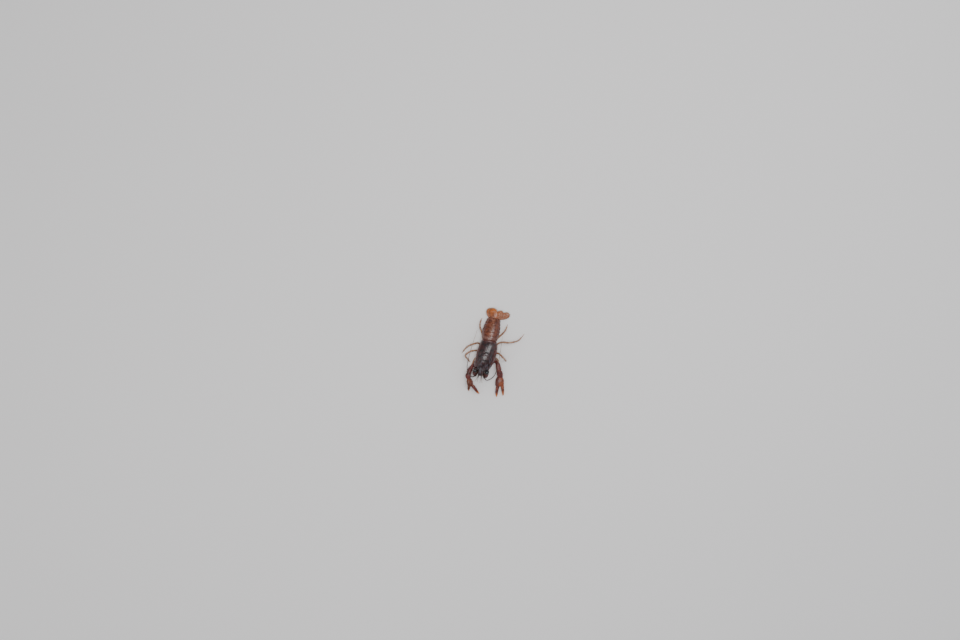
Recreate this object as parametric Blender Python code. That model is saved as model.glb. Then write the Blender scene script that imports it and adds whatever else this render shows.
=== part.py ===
"""A young white-clawed crayfish, about 16 mm long, as a still life-size model.

The head points along -Y, the tail along +Y, and +Z is up. The animal's right side
lies at -X. The origin is on the flat of the belly, which rests on the floor at z = 0.
Every size below is in millimetres, and MM turns it into metres where a mesh is made.
"""

import math

import bmesh
import bpy
from mathutils import Matrix, Vector

MM = 0.001
UP = Vector((0, 0, 1))
FLOOR = 0.0
GAP = 0.1  # room between two pieces that touch
RIGHT, LEFT = -1, 1
SIDE_NAMES = {RIGHT: "right", LEFT: "left"}
SHARP_EDGE = math.radians(50)  # edges that turn further than this are shaded as edges

# Lengths along the body
CARAPACE_REAR = 3.1
CARAPACE_FRONT = -3.65
FACE_FRONT = -4.35
ROSTRUM_TIP = -5.5
ABDOMEN_LENGTH = 4.95
SEGMENT_COUNT = 6

HEAD_X = -0.22  # the head is turned a little to the animal's right

# Carapace sections from the rear edge to the front: y, middle x, half width, then the
# widest, top and lowest z
CARAPACE_SECTIONS = (
    (CARAPACE_REAR, 0.12, 1.70, 1.75, 3.02, 0.98),
    (2.55, 0.14, 1.92, 1.75, 3.32, 0.94),
    (1.60, 0.18, 2.18, 1.72, 3.55, 0.90),
    (0.20, 0.12, 2.32, 1.68, 3.66, 0.90),
    (-1.20, 0.10, 2.28, 1.66, 3.60, 0.90),
    (-1.80, 0.08, 2.22, 1.66, 3.52, 0.92),
    (-2.40, -0.06, 2.06, 1.66, 3.42, 0.94),
    (-3.20, -0.22, 1.88, 1.68, 3.16, 1.00),
    (CARAPACE_FRONT, -0.26, 1.72, 1.70, 2.86, 1.12),
)
CARAPACE_SIDES = 28
CARAPACE_STEPS = 4
GROOVE_BACK_Y = 0.25  # where the cervical groove crosses the midline
GROOVE_SWEEP = 2.6  # how far it runs forward down the flanks
GROOVE_DEPTH = 0.16
GROOVE_WIDTH = 0.26

CARAPACE_SQUARE = (0.86, 0.84)  # under 1 makes the section boxier, across and upward
GROOVE_CURVE = 1.6  # how sharply the groove turns forward

# The rostrum and the small ridges and spines of the head
ROSTRUM_KEYS = (
    (HEAD_X, -3.10, 2.76, 0.84, 0.26),
    (HEAD_X, -4.00, 2.72, 0.70, 0.26),
    (HEAD_X, -4.75, 2.60, 0.48, 0.25),
    (HEAD_X, -5.15, 2.50, 0.26, 0.20),
    (HEAD_X, ROSTRUM_TIP, 2.42, 0.06, 0.07),
)
FACE_KEYS = (
    (HEAD_X, CARAPACE_FRONT + 0.5, 1.70, 0.56, 0.50),
    (HEAD_X, FACE_FRONT, 1.72, 0.53, 0.42),
)
RIDGE_KEYS = (
    (0.98, -2.75, 2.88, 0.10, 0.12),
    (0.98, -3.22, 2.80, 0.14, 0.18),
    (0.93, -3.70, 2.62, 0.12, 0.16),
)
SPINE_LENGTH, SPINE_RADIUS, SPINE_SIDES = 0.34, 0.13, 6
SPINE_SUNK, SPINE_OUT = 0.5, 0.8  # shares of the length below and above the base point
SPINE_BLUNT = 0.15  # the tip's share of the radius
# Spines of each side: the base, then the way it points
HEAD_SPINES = (
    ((0.90, -3.56, 2.70), (0.0, -1.0, 0.15)),  # at the end of the ridge behind the eye
    ((0.44, -4.72, 2.62), (0.55, -1.0, 0.1)),  # on the side of the rostrum
    ((1.52, -3.55, 1.95), (0.2, -1.0, 0.0)),  # below the eye
    ((2.20, -1.05, 1.95), (1.0, -0.9, 0.1)),  # the last three stand behind the cervical groove
    ((2.24, -0.72, 2.20), (1.0, -0.9, 0.1)),
    ((2.18, -0.35, 2.50), (1.0, -0.9, 0.2)),
)

# The belly plate that the legs grow from
STERNUM_HALF, STERNUM_TOP = 0.88, 0.80
STERNUM_FRONT, STERNUM_REAR = -2.60, 2.90
STERNUM_CORNER = 0.16
STERNUM_KEYS = (  # y, half width
    (STERNUM_REAR, STERNUM_HALF - 0.10),
    (STERNUM_REAR - 0.5, STERNUM_HALF),
    (0.0, STERNUM_HALF),
    (STERNUM_FRONT + 0.5, STERNUM_HALF),
    (STERNUM_FRONT, STERNUM_HALF - 0.06),
)

# Eyes: centre x, y, z of each cornea
EYE_CENTRES = {RIGHT: (-1.60, -4.40, 2.36), LEFT: (1.18, -4.25, 2.36)}
EYE_RADIUS, STALK_RADIUS = 0.46, 0.25
STALK_SHARE = 0.6  # where the stalk's middle ring lies on the way to the cornea
STALK_X, STALK_DROP = 0.98, 0.05  # the stalk's root, out from the head's middle and below the eye

# Feelers
ANTENNULE_KEYS = ((0.33, FACE_FRONT - GAP, 1.84), (0.33, -5.00, 1.84), (0.34, -5.25, 1.84))
ANTENNULE_INNER = ((0.34, -5.15, 1.84), (0.32, -5.80, 1.70), (0.34, -6.80, 1.46))
ANTENNULE_OUTER = ((0.36, -5.15, 1.84), (0.50, -5.90, 1.88), (0.86, -6.80, 1.94))
ANTENNULE_HALF = 0.21  # half thickness of its two threads at the root
ANTENNA_PEDUNCLE = ((0.86, CARAPACE_FRONT - GAP, 1.42), (0.86, -4.40, 1.38), (0.90, -4.95, 1.42))
ANTENNA_FLAGELLUM = (
    (1.02, -5.50, 1.90),
    (1.78, -5.96, 2.46),
    (2.80, -5.20, 2.66),
    (3.34, -4.00, 2.80),
    (3.46, -2.00, 2.76),
    (3.40, 0.00, 2.66),
    (3.24, 2.20, 2.46),
    (3.00, 4.60, 2.10),
)
FEELER_HALF, FEELER_TIP = 0.25, 0.10
SCALE_KEYS = (
    (1.48, CARAPACE_FRONT - GAP, 1.52, 0.24, 0.22),
    (1.54, -4.45, 1.54, 0.31, 0.22),
    (1.48, -5.10, 1.56, 0.28, 0.20),
    (1.34, -5.62, 1.58, 0.10, 0.10),
)
MAXILLIPED_KEYS = (
    (0.44, STERNUM_FRONT - GAP, 0.42, 0.28, 0.30),
    (0.46, -3.40, 0.50, 0.30, 0.30),
    (0.44, -4.30, 0.66, 0.26, 0.26),
    (0.38, -5.00, 0.86, 0.22, 0.22),
    (0.32, -5.45, 0.98, 0.08, 0.08),
)

# Claw arms: x, y, z, half width and half height of each key section
ARM_ROOT_Y = -1.60
ARM_KEYS = {
    RIGHT: (
        (-STERNUM_HALF - GAP, ARM_ROOT_Y, 0.42, 0.32, 0.32),
        (-1.48, -1.98, 0.42, 0.34, 0.34),
        (-2.00, -3.00, 0.74, 0.34, 0.36),
        (-2.54, -3.80, 1.02, 0.40, 0.42),
        (-2.80, -4.55, 1.26, 0.54, 0.50),
        (-2.86, -5.28, 1.40, 0.58, 0.52),
    ),
    LEFT: (
        (STERNUM_HALF + GAP, ARM_ROOT_Y, 0.42, 0.32, 0.32),
        (1.70, -1.52, 0.42, 0.34, 0.34),
        (2.52, -1.36, 0.80, 0.34, 0.36),
        (3.12, -1.76, 1.14, 0.46, 0.42),
        (3.50, -2.55, 1.22, 0.60, 0.52),
        (3.76, -3.16, 1.16, 0.60, 0.52),
    ),
}
WRIST_KEYS = {
    RIGHT: (
        (-2.87, -5.45, 1.42, 0.54, 0.48),
        (-2.88, -6.00, 1.42, 0.64, 0.56),
        (-2.66, -6.50, 1.34, 0.52, 0.46),
    ),
    LEFT: (
        (3.84, -3.32, 1.10, 0.56, 0.48),
        (4.16, -3.92, 0.92, 0.72, 0.56),
        (4.40, -4.50, 0.72, 0.62, 0.46),
    ),
}
PALM_KEYS = {
    RIGHT: (
        (-2.59, -6.66, 1.30, 0.52, 0.44),
        (-2.36, -7.05, 1.22, 0.82, 0.52),
        (-2.06, -7.55, 1.10, 0.90, 0.54),
        (-1.80, -8.05, 0.98, 0.78, 0.46),
    ),
    LEFT: (
        (4.43, -4.68, 0.64, 0.64, 0.44),
        (4.46, -5.15, 0.58, 0.92, 0.52),
        (4.56, -5.80, 0.55, 1.02, 0.55),
        (4.72, -6.60, 0.50, 0.98, 0.48),
    ),
}
PALM_ROLL = {RIGHT: math.radians(-52), LEFT: 0.0}
FIXED_FINGER_KEYS = {
    RIGHT: (
        (-2.12, -7.86, 0.66, 0.36, 0.34),
        (-2.16, -8.40, 0.48, 0.32, 0.30),
        (-2.08, -9.00, 0.30, 0.24, 0.25),
        (-1.88, -9.48, 0.18, 0.08, 0.10),
    ),
    LEFT: (
        (5.26, -6.30, 0.48, 0.38, 0.38),
        (5.54, -7.02, 0.44, 0.36, 0.36),
        (5.82, -7.85, 0.38, 0.29, 0.30),
        (6.06, -8.75, 0.32, 0.10, 0.11),
    ),
}
FINGER_KEYS = {
    RIGHT: (
        (-1.30, -7.86, 1.24, 0.36, 0.32),
        (-0.86, -8.36, 1.18, 0.37, 0.33),
        (-0.08, -9.04, 0.96, 0.30, 0.28),
        (0.60, -9.52, 0.72, 0.10, 0.10),
    ),
    LEFT: (
        (4.34, -6.85, 0.48, 0.40, 0.37),
        (4.34, -7.45, 0.46, 0.37, 0.35),
        (4.44, -8.40, 0.40, 0.31, 0.30),
        (4.67, -9.34, 0.34, 0.11, 0.11),
    ),
}
TOOTH_COUNT, TOOTH_LENGTH, TOOTH_RADIUS = 4, 0.16, 0.10
TOOTH_START, TOOTH_STEP = 0.34, 0.14  # shares of the finger to the first tooth and between teeth
TOOTH_SEAT = 0.86  # how far out from the finger's middle a tooth sits, as a share of its half width
THORN_WAY, THORN_ROOT = (-1.0, -0.6, 0.35), 0.5  # the spine on the inner side of each wrist

# Walking legs: how far back each root sits, the way up to the knee, and on to the tip
LEG_ROOT_Z = 0.36
LEG_ROOT_Y = {2: -0.70, 3: 0.20, 4: 1.10, 5: 2.00}
LEG_KEYS = {
    ("right", 2): (
        ((-1.62, -1.05, 0.36), (-2.20, -1.85, 0.34)),
        ((-2.48, -2.70, 0.27), (-2.58, -3.60, 0.25), (-2.20, -4.75, 0.10)),
    ),
    ("right", 3): (
        ((-1.90, 0.14, 0.46), (-2.70, 0.06, 1.00), (-3.66, -0.39, 1.62), (-4.46, -1.22, 1.92)),
        ((-4.44, -1.80, 1.66), (-3.80, -2.26, 0.96), (-3.08, -2.88, 0.12)),
    ),
    ("right", 4): (
        ((-1.70, 1.60, 0.42), (-2.30, 1.92, 0.78), (-3.00, 1.66, 1.30), (-4.00, 1.05, 1.84)),
        ((-4.74, 0.33, 1.50), (-5.19, -0.63, 0.76), (-5.51, -1.31, 0.12)),
    ),
    ("right", 5): (
        ((-1.40, 2.45, 0.32), (-1.60, 3.40, 0.28), (-1.92, 4.25, 0.32), (-2.26, 4.85, 0.62)),
        ((-2.66, 5.50, 0.78), (-2.90, 6.40, 0.60), (-2.88, 7.20, 0.34), (-2.72, 7.80, 0.10)),
    ),
    ("left", 2): (
        ((1.80, -0.62, 0.36), (2.60, -0.68, 0.32), (3.04, -1.00, 0.27)),
        ((3.22, -1.55, 0.26), (3.46, -2.50, 0.25), (3.66, -3.50, 0.10)),
    ),
    ("left", 3): (
        ((1.90, 0.42, 0.46), (2.70, 0.62, 1.00), (3.40, 0.36, 1.62), (3.96, -0.04, 2.06)),
        ((4.44, -0.34, 1.72), (4.80, -0.62, 0.92), (5.04, -0.86, 0.12)),
    ),
    ("left", 4): (
        ((1.72, 1.80, 0.42), (2.20, 2.80, 0.78), (3.10, 3.34, 1.34), (4.40, 3.54, 1.80)),
        ((5.46, 3.90, 1.62), (6.50, 4.46, 1.06), (7.12, 5.30, 0.52), (7.66, 6.38, 0.12)),
    ),
    ("left", 5): (
        ((1.40, 2.45, 0.32), (1.60, 3.40, 0.28), (1.98, 4.20, 0.32), (2.40, 4.80, 0.62)),
        ((2.86, 5.50, 0.78), (3.16, 6.20, 0.60), (3.32, 7.00, 0.34), (3.34, 7.62, 0.10)),
    ),
}
# Half thickness of a leg at shares of the way: hip to knee, then knee to tip
UPPER_PROFILE = ((0.0, 0.29), (0.15, 0.28), (0.25, 0.24), (0.6, 0.25), (0.9, 0.27), (1.0, 0.24))
LOWER_PROFILE = ((0.0, 0.24), (0.2, 0.27), (0.35, 0.25), (0.7, 0.24), (0.85, 0.17), (1.0, 0.07))
LEG_SIDES, LEG_STEPS = 8, 2
PINCER_LEGS = (2, 3)
THUMB_HALF, THUMB_TIP, THUMB_SPREAD = 0.16, 0.06, 0.26  # the fixed finger of a small pincer
THUMB_SHARES = (0.4, 0.92)  # where its middle and tip lie beside the last length
THUMB_BEND = 0.8  # the middle's share of the spread

# Abdomen: for each segment, half width, top z and lowest z of the side flap at its middle
SEGMENT_SIZES = (
    (1.62, 2.78, 1.00),
    (1.80, 2.66, 0.66),
    (1.84, 2.50, 0.50),
    (1.78, 2.26, 0.38),
    (1.62, 1.96, 0.28),
    (1.42, 1.62, 0.18),
)
SEGMENT_STEP = 0.07  # the rear lip of a tergite stands this far over the front of the next
SEGMENT_RINGS, ARCH_POINTS = 6, 17
ARCH_SQUARE = (0.8, 0.72)  # under 1 makes the arch boxier, across and upward
NEIGHBOUR_SHARE = 0.9  # how far a segment's ends take on the next one's size
FLAP_RISE = 0.34  # how much a side flap rises from its lowest point to its ends
FLAP_LOWEST = 0.55  # where along the segment that point lies
FLAP_THICKNESS = 0.46
FLAP_SLOPE = 0.1  # how far the inner face of a flap leans in on its way up
BELLY_RISE = 0.56  # the underside lies this far above the flaps' lowest point
PLEOPOD_SEGMENTS = (2, 3, 4, 5)
PLEOPOD_SHARES = (0.25, 0.62)  # of the way from the midline to a side flap
PLEOPOD_ROOT = 0.22  # behind the front of its segment
PLEOPOD_KEYS = (  # y and z from the root, half width, half height
    (0.00, 0.25, 0.24, 0.20),
    (0.20, -0.12, 0.25, 0.20),
    (0.72, -0.52, 0.14, 0.12),
)

# Tail fan: x, y, z, half width and half height along each plate
TELSON_KEYS = (
    (0.00, 0.00, 0.93, 0.62, 0.25),
    (-0.16, 0.70, 0.89, 0.78, 0.25),
    (-0.44, 1.35, 0.81, 0.80, 0.24),
    (-0.66, 1.80, 0.72, 0.64, 0.17),
    (-0.76, 2.10, 0.66, 0.36, 0.10),
)
UROPOD_KEYS = {
    ("right", "inner"): (
        (-0.40, 0.00, 0.25, 0.22, 0.25),
        (-0.62, 0.70, 0.24, 0.36, 0.24),
        (-0.90, 1.35, 0.21, 0.38, 0.21),
        (-1.06, 1.86, 0.18, 0.26, 0.14),
    ),
    ("right", "outer"): (
        (-1.06, 0.00, 0.25, 0.24, 0.25),
        (-1.46, 0.58, 0.25, 0.33, 0.25),
        (-1.68, 1.15, 0.23, 0.34, 0.23),
        (-1.70, 1.64, 0.20, 0.22, 0.14),
    ),
    ("left", "inner"): (
        (0.44, 0.00, 0.25, 0.22, 0.25),
        (0.88, 0.74, 0.25, 0.34, 0.25),
        (1.44, 1.34, 0.23, 0.42, 0.23),
        (1.90, 1.86, 0.20, 0.28, 0.14),
    ),
    ("left", "outer"): (
        (1.04, 0.00, 0.25, 0.22, 0.25),
        (1.50, 0.40, 0.25, 0.28, 0.25),
        (2.44, 0.90, 0.23, 0.44, 0.23),
        (3.40, 1.38, 0.20, 0.30, 0.14),
    ),
}
TAIL_Y = CARAPACE_REAR + GAP + ABDOMEN_LENGTH + GAP
TELSON_SPINES = ((0.26, 1.40, 0.79), (-1.16, 1.34, 0.79))  # bases, y from the tail's root
TELSON_SPINE_AHEAD = 2.0  # how much further back than out they point
RIB_HALF, RIB_RISE = 0.09, 0.07  # the raised rib along each side plate

# Colour as red, green and blue, then roughness and metallic value
FINISHES = {
    "dark_shell": ((0.045, 0.022, 0.016), 0.25, 0.0),
    "belly": ((0.30, 0.20, 0.13), 0.45, 0.0),
    "tail_shell": ((0.17, 0.055, 0.020), 0.30, 0.0),
    "fan": ((0.42, 0.16, 0.035), 0.35, 0.0),
    "claw": ((0.20, 0.075, 0.030), 0.30, 0.0),
    "finger": ((0.34, 0.085, 0.022), 0.30, 0.0),
    "arm": ((0.070, 0.035, 0.032), 0.30, 0.0),
    "leg": ((0.26, 0.17, 0.085), 0.35, 0.0),
    "feeler": ((0.22, 0.11, 0.055), 0.40, 0.0),
    "eye": ((0.006, 0.008, 0.010), 0.08, 0.0),
}


def clear_scene():
    """Takes away every object that the opened file holds."""
    for thing in list(bpy.data.objects):
        bpy.data.objects.remove(thing)


def make_collection(name):
    """A new collection in the scene."""
    group = bpy.data.collections.new(name)
    bpy.context.scene.collection.children.link(group)
    return group


def make_finishes():
    """One plain material for each finish."""
    made = {}
    for name, (colour, roughness, metallic) in FINISHES.items():
        finish = bpy.data.materials.new(name)
        finish.use_nodes = True
        shader = finish.node_tree.nodes["Principled BSDF"]
        shader.inputs["Base Color"].default_value = (*colour, 1.0)
        shader.inputs["Roughness"].default_value = roughness
        shader.inputs["Metallic"].default_value = metallic
        made[name] = finish
    return made


def between(before, start, end, after, t):
    """A Catmull-Rom curve's value between start and end."""
    slope_in, slope_out = (end - before) / 2, (after - start) / 2
    rise = start - end
    cubic = 2 * rise + slope_in + slope_out
    square = -3 * rise - 2 * slope_in - slope_out
    return ((cubic * t + square) * t + slope_in) * t + start


def spline(keys, steps):
    """Rows read from a smooth curve through the keys, with this many steps a span."""
    rows = []
    last = len(keys) - 1
    for i in range(last):
        span = (keys[max(i - 1, 0)], keys[i], keys[i + 1], keys[min(i + 2, last)])
        for step in range(steps):
            rows.append([between(*values, step / steps) for values in zip(*span)])
    rows.append(list(keys[-1]))
    return rows


def profile_at(profile, share):
    """A value read along straight lines between the profile's pairs."""
    for (low, first), (high, second) in zip(profile, profile[1:]):
        if share <= high:
            return first + (second - first) * (share - low) / (high - low)
    return profile[-1][1]


def power(value, exponent):
    """A power that keeps the sign."""
    return math.copysign(abs(value) ** exponent, value)


def sweep(keys, steps, sides, first=None, last=None, roll=0.0, square=1.0):
    """Oval rings along a smooth way through keys of x, y, z, half width, half height.

    first and last are the directions that the end faces look along; square under 1
    makes the ovals boxier.
    """
    rows = spline(keys, steps)
    places = [Vector(row[:3]) for row in rows]
    rings = []
    for i, row in enumerate(rows):
        ahead = places[min(i + 1, len(places) - 1)] - places[max(i - 1, 0)]
        if i == 0 and first:
            ahead = Vector(first)
        if i == len(places) - 1 and last:
            ahead = Vector(last)
        ahead.normalize()
        across = ahead.cross(UP).normalized()
        across = Matrix.Rotation(roll, 3, ahead) @ across
        over = across.cross(ahead)
        ring = []
        for n in range(sides):
            turn = 2 * math.pi * (n + 0.5) / sides
            wide = power(math.cos(turn), square) * row[3]
            high = power(math.sin(turn), square) * row[4]
            ring.append(places[i] + across * wide + over * high)
        rings.append(ring)
    return rings


def loft(name, rings, finish, group):
    """One closed body through the rings, its ends filled, and nothing under the floor."""
    shape = bmesh.new()
    rows = []
    for ring in rings:
        row = []
        for point in ring:
            x, y, z = point
            row.append(shape.verts.new(Vector((x, y, max(z, FLOOR))) * MM))
        rows.append(row)
    for row, following in zip(rows, rows[1:]):
        for n in range(len(row)):
            m = (n + 1) % len(row)
            shape.faces.new((row[n], row[m], following[m], following[n]))
    shape.faces.new(rows[0])
    shape.faces.new(rows[-1])
    bmesh.ops.recalc_face_normals(shape, faces=shape.faces)
    mesh = bpy.data.meshes.new(name)
    shape.to_mesh(mesh)
    shape.free()
    mesh.materials.append(finish)
    mesh.shade_smooth()
    mesh.set_sharp_from_angle(angle=SHARP_EDGE)
    thing = bpy.data.objects.new(name, mesh)
    group.objects.link(thing)
    return thing


def spine(base, direction, length, radius, finish, group, sides=SPINE_SIDES):
    """A small cone whose root is sunk below its base point."""
    shape = bmesh.new()
    turn = UP.rotation_difference(Vector(direction)).to_matrix().to_4x4()
    middle = (SPINE_OUT - SPINE_SUNK) / 2
    shift = Vector(base) + Vector(direction).normalized() * length * middle
    place = Matrix.Translation(shift * MM) @ turn
    bmesh.ops.create_cone(
        shape, cap_ends=True, segments=sides, radius1=radius * MM,
        radius2=radius * SPINE_BLUNT * MM, depth=length * (SPINE_OUT + SPINE_SUNK) * MM,
        matrix=place,
    )
    mesh = bpy.data.meshes.new("spine")
    shape.to_mesh(mesh)
    shape.free()
    mesh.materials.append(finish)
    thing = bpy.data.objects.new("spine", mesh)
    group.objects.link(thing)
    return thing


def ball(centre, radius, finish, group, rings=10, segments=16):
    """A round cornea."""
    shape = bmesh.new()
    bmesh.ops.create_uvsphere(
        shape, u_segments=segments, v_segments=rings, radius=radius * MM,
        matrix=Matrix.Translation(Vector(centre) * MM),
    )
    mesh = bpy.data.meshes.new("ball")
    shape.to_mesh(mesh)
    shape.free()
    mesh.materials.append(finish)
    mesh.shade_smooth()
    thing = bpy.data.objects.new("ball", mesh)
    group.objects.link(thing)
    return thing


def keep_largest(mesh):
    """Leaves only the largest closed surface of a mesh."""
    shape = bmesh.new()
    shape.from_mesh(mesh)
    bmesh.ops.triangulate(shape, faces=shape.faces)
    islands, seen = [], set()
    for face in shape.faces:
        if face in seen:
            continue
        island, waiting = [], [face]
        seen.add(face)
        while waiting:
            current = waiting.pop()
            island.append(current)
            for edge in current.edges:
                for other in edge.link_faces:
                    if other not in seen:
                        seen.add(other)
                        waiting.append(other)
        islands.append(island)
    islands.sort(key=lambda island: sum(face.calc_area() for face in island))
    for island in islands[:-1]:
        bmesh.ops.delete(shape, geom=island, context="FACES")
    shape.to_mesh(mesh)
    shape.free()


def fuse(core, extras):
    """Joins the extras, whose roots are sunk in the core, to it as one closed body."""
    group = make_collection(core.name + "_extras")
    for extra in extras:
        for holder in list(extra.users_collection):
            holder.objects.unlink(extra)
        group.objects.link(extra)
    join = core.modifiers.new("Join", "BOOLEAN")
    join.operation = "UNION"
    join.operand_type = "COLLECTION"
    join.collection = group
    join.solver = "EXACT"
    graph = bpy.context.evaluated_depsgraph_get()
    mesh = bpy.data.meshes.new_from_object(core.evaluated_get(graph))
    core.modifiers.remove(join)
    core.data = mesh
    for extra in list(group.objects):
        bpy.data.objects.remove(extra)
    bpy.data.collections.remove(group)
    keep_largest(core.data)
    core.data.shade_smooth()
    core.data.set_sharp_from_angle(angle=SHARP_EDGE)
    return core


def centre_at(y):
    """The x of the carapace's middle at a place along the body."""
    return profile_at([(-row[0], row[1]) for row in CARAPACE_SECTIONS], -y)


def carapace_ring(row):
    """One section of the carapace, dented where the cervical groove crosses it."""
    y, x, half, middle, top, low = row
    ring = []
    for n in range(CARAPACE_SIDES):
        turn = 2 * math.pi * (n + 0.5) / CARAPACE_SIDES
        wide = power(math.cos(turn), CARAPACE_SQUARE[0])
        high = power(math.sin(turn), CARAPACE_SQUARE[1])
        groove_y = GROOVE_BACK_Y - GROOVE_SWEEP * abs(wide) ** GROOVE_CURVE
        away = (y - groove_y) / GROOVE_WIDTH
        dent = GROOVE_DEPTH * math.exp(-away * away) if high > 0 else 0.0
        rise = top - middle if high > 0 else middle - low
        ring.append((x + wide * (half - dent), y, middle + high * (rise - dent)))
    return ring


def make_carapace(finish, group):
    """The carapace with its rostrum, face block, ridges and spines."""
    rows = spline(CARAPACE_SECTIONS, CARAPACE_STEPS)
    shell = loft("carapace", [carapace_ring(row) for row in rows], finish, group)
    extras = [loft("rostrum", sweep(ROSTRUM_KEYS, 2, 12, square=0.8), finish, group)]
    extras.append(loft("face", sweep(FACE_KEYS, 1, 12, square=0.6), finish, group))
    for side in (RIGHT, LEFT):
        ridge = sweep(mirrored(RIDGE_KEYS, side, HEAD_X), 2, 8)
        extras.append(loft("ridge", ridge, finish, group))
        for (x, y, z), (outward, along, upward) in HEAD_SPINES:
            base, direction = (centre_at(y) + side * x, y, z), (side * outward, along, upward)
            extras.append(spine(base, direction, SPINE_LENGTH, SPINE_RADIUS, finish, group))
    return fuse(shell, extras)


def make_sternum(finish, group):
    """The belly plate, flat below, narrower towards the mouth."""
    high = (STERNUM_TOP - FLOOR) / 2
    middle = FLOOR + high
    rings = []
    for y, half in STERNUM_KEYS:
        ring = []
        for across, upward in ((1, 1), (-1, 1), (-1, -1), (1, -1)):
            flat = (across * (half - STERNUM_CORNER), y, middle + upward * high)
            upright = (across * half, y, middle + upward * (high - STERNUM_CORNER))
            ring += [upright, flat] if across * upward > 0 else [flat, upright]
        rings.append(ring)
    return loft("sternum", rings, finish, group)


def make_eye(side, finish, group):
    """A stalked eye whose stalk meets the front of the carapace."""
    centre = Vector(EYE_CENTRES[side])
    foot = Vector((HEAD_X + side * STALK_X, CARAPACE_FRONT - GAP, centre.z - STALK_DROP))
    keys = (
        (*foot, STALK_RADIUS, STALK_RADIUS),
        (*foot.lerp(centre, STALK_SHARE), STALK_RADIUS, STALK_RADIUS),
        (*centre, STALK_RADIUS, STALK_RADIUS),
    )
    rings = sweep(keys, 1, 10, first=(0, -1, 0))
    stalk = loft("eye_" + SIDE_NAMES[side], rings, finish, group)
    return fuse(stalk, [ball(centre, EYE_RADIUS, finish, group)])


def feeler_rings(points, side, first, half=FEELER_HALF, tip=FEELER_TIP, sides=8, steps=3):
    """Rings of a feeler that keeps its thickness and thins over its last third."""
    last = len(points) - 1
    keys = []
    for i, (x, y, z) in enumerate(points):
        size = half + (tip - half) * max(0.0, 3 * i / last - 2)
        keys.append((HEAD_X + side * x, y, z, size, size))
    return sweep(keys, steps, sides, first=first)


def make_antennule(side, finish, group):
    """A short stem with two threads, under the rostrum."""
    stem = loft(
        "antennule_" + SIDE_NAMES[side],
        feeler_rings(ANTENNULE_KEYS, side, (0, -1, 0), tip=FEELER_HALF), finish, group,
    )
    threads = [
        loft("thread", feeler_rings(points, side, None, half=ANTENNULE_HALF), finish, group)
        for points in (ANTENNULE_INNER, ANTENNULE_OUTER)
    ]
    return fuse(stem, threads)


def make_antenna(side, finish, group):
    """The long feeler: a stout stem, then a whip that sweeps out and back."""
    points = ANTENNA_PEDUNCLE + ANTENNA_FLAGELLUM
    rings = feeler_rings(points, side, (0, -1, 0))
    return loft("antenna_" + SIDE_NAMES[side], rings, finish, group)


def mirrored(keys, side, middle=0.0):
    """Key rows with x turned to the given side of a middle."""
    return tuple((middle + side * row[0], *row[1:]) for row in keys)


def make_scale(side, finish, group):
    """The leaf-shaped scale beside the root of the long feeler."""
    rings = sweep(mirrored(SCALE_KEYS, side, HEAD_X), 2, 10, first=(0, -1, 0), square=0.8)
    return loft("antennal_scale_" + SIDE_NAMES[side], rings, finish, group)


def make_maxilliped(side, finish, group):
    """The leg-like mouthpart that closes over the mouth."""
    rings = sweep(mirrored(MAXILLIPED_KEYS, side), 2, 8, first=(0, -1, 0))
    return loft("maxilliped_" + SIDE_NAMES[side], rings, finish, group)


def end_direction(keys):
    """The way from the last but one key to the last."""
    return Vector(keys[-1][:3]) - Vector(keys[-2][:3])


def finger_teeth(keys, towards, finish, group):
    """Blunt teeth along a finger's biting edge, which faces the given point."""
    teeth = []
    rows = spline(keys, 8)
    for n in range(TOOTH_COUNT):
        row = rows[int(len(rows) * (TOOTH_START + TOOTH_STEP * n))]
        centre = Vector(row[:3])
        ahead = end_direction(keys).normalized()
        bite = Vector(towards) - centre
        bite = (bite - ahead * bite.dot(ahead)).normalized()
        base = centre + bite * row[3] * TOOTH_SEAT
        teeth.append(spine(base, bite, TOOTH_LENGTH, TOOTH_RADIUS, finish, group, sides=5))
    return teeth


def make_claw_arm(side, finishes, group):
    """The four pieces of one claw-bearing leg: arm, wrist, hand and moving finger."""
    name = SIDE_NAMES[side]
    arm, wrist = ARM_KEYS[side], WRIST_KEYS[side]
    palm, fixed, finger = PALM_KEYS[side], FIXED_FINGER_KEYS[side], FINGER_KEYS[side]
    elbow = Vector(wrist[0][:3]) - Vector(arm[-1][:3])
    hinge = Vector(palm[0][:3]) - Vector(wrist[-1][:3])
    rings = sweep(arm, 3, 12, first=(side, 0, 0), last=elbow)
    loft(f"claw_arm_{name}", rings, finishes["arm"], group)
    rings = sweep(wrist, 3, 12, first=elbow, last=hinge)
    core = loft(f"claw_wrist_{name}", rings, finishes["arm"], group)
    middle = Vector(wrist[1][:3])
    inner = Vector((side * THORN_WAY[0], *THORN_WAY[1:])).normalized()
    base = middle + inner * THORN_ROOT
    thorn = spine(base, inner, SPINE_LENGTH, SPINE_RADIUS, finishes["arm"], group)
    fuse(core, [thorn])
    facing = end_direction(palm).normalized()
    rings = sweep(palm, 3, 16, first=hinge, last=facing, roll=PALM_ROLL[side], square=0.88)
    core = loft(f"claw_hand_{name}", rings, finishes["claw"], group)
    bar = loft("fixed_finger", sweep(fixed, 3, 10), finishes["claw"], group)
    bite = finger_teeth(fixed, finger[2][:3], finishes["claw"], group)
    fuse(core, [bar, *bite])
    root = Vector(finger[0][:3])
    root -= facing * ((root - Vector(palm[-1][:3])).dot(facing) - GAP)
    seated = ((*root, *finger[0][3:]), *finger[1:])
    core = loft(f"claw_finger_{name}", sweep(seated, 3, 10, first=facing), finishes["finger"], group)
    fuse(core, finger_teeth(finger, fixed[2][:3], finishes["finger"], group))


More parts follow.
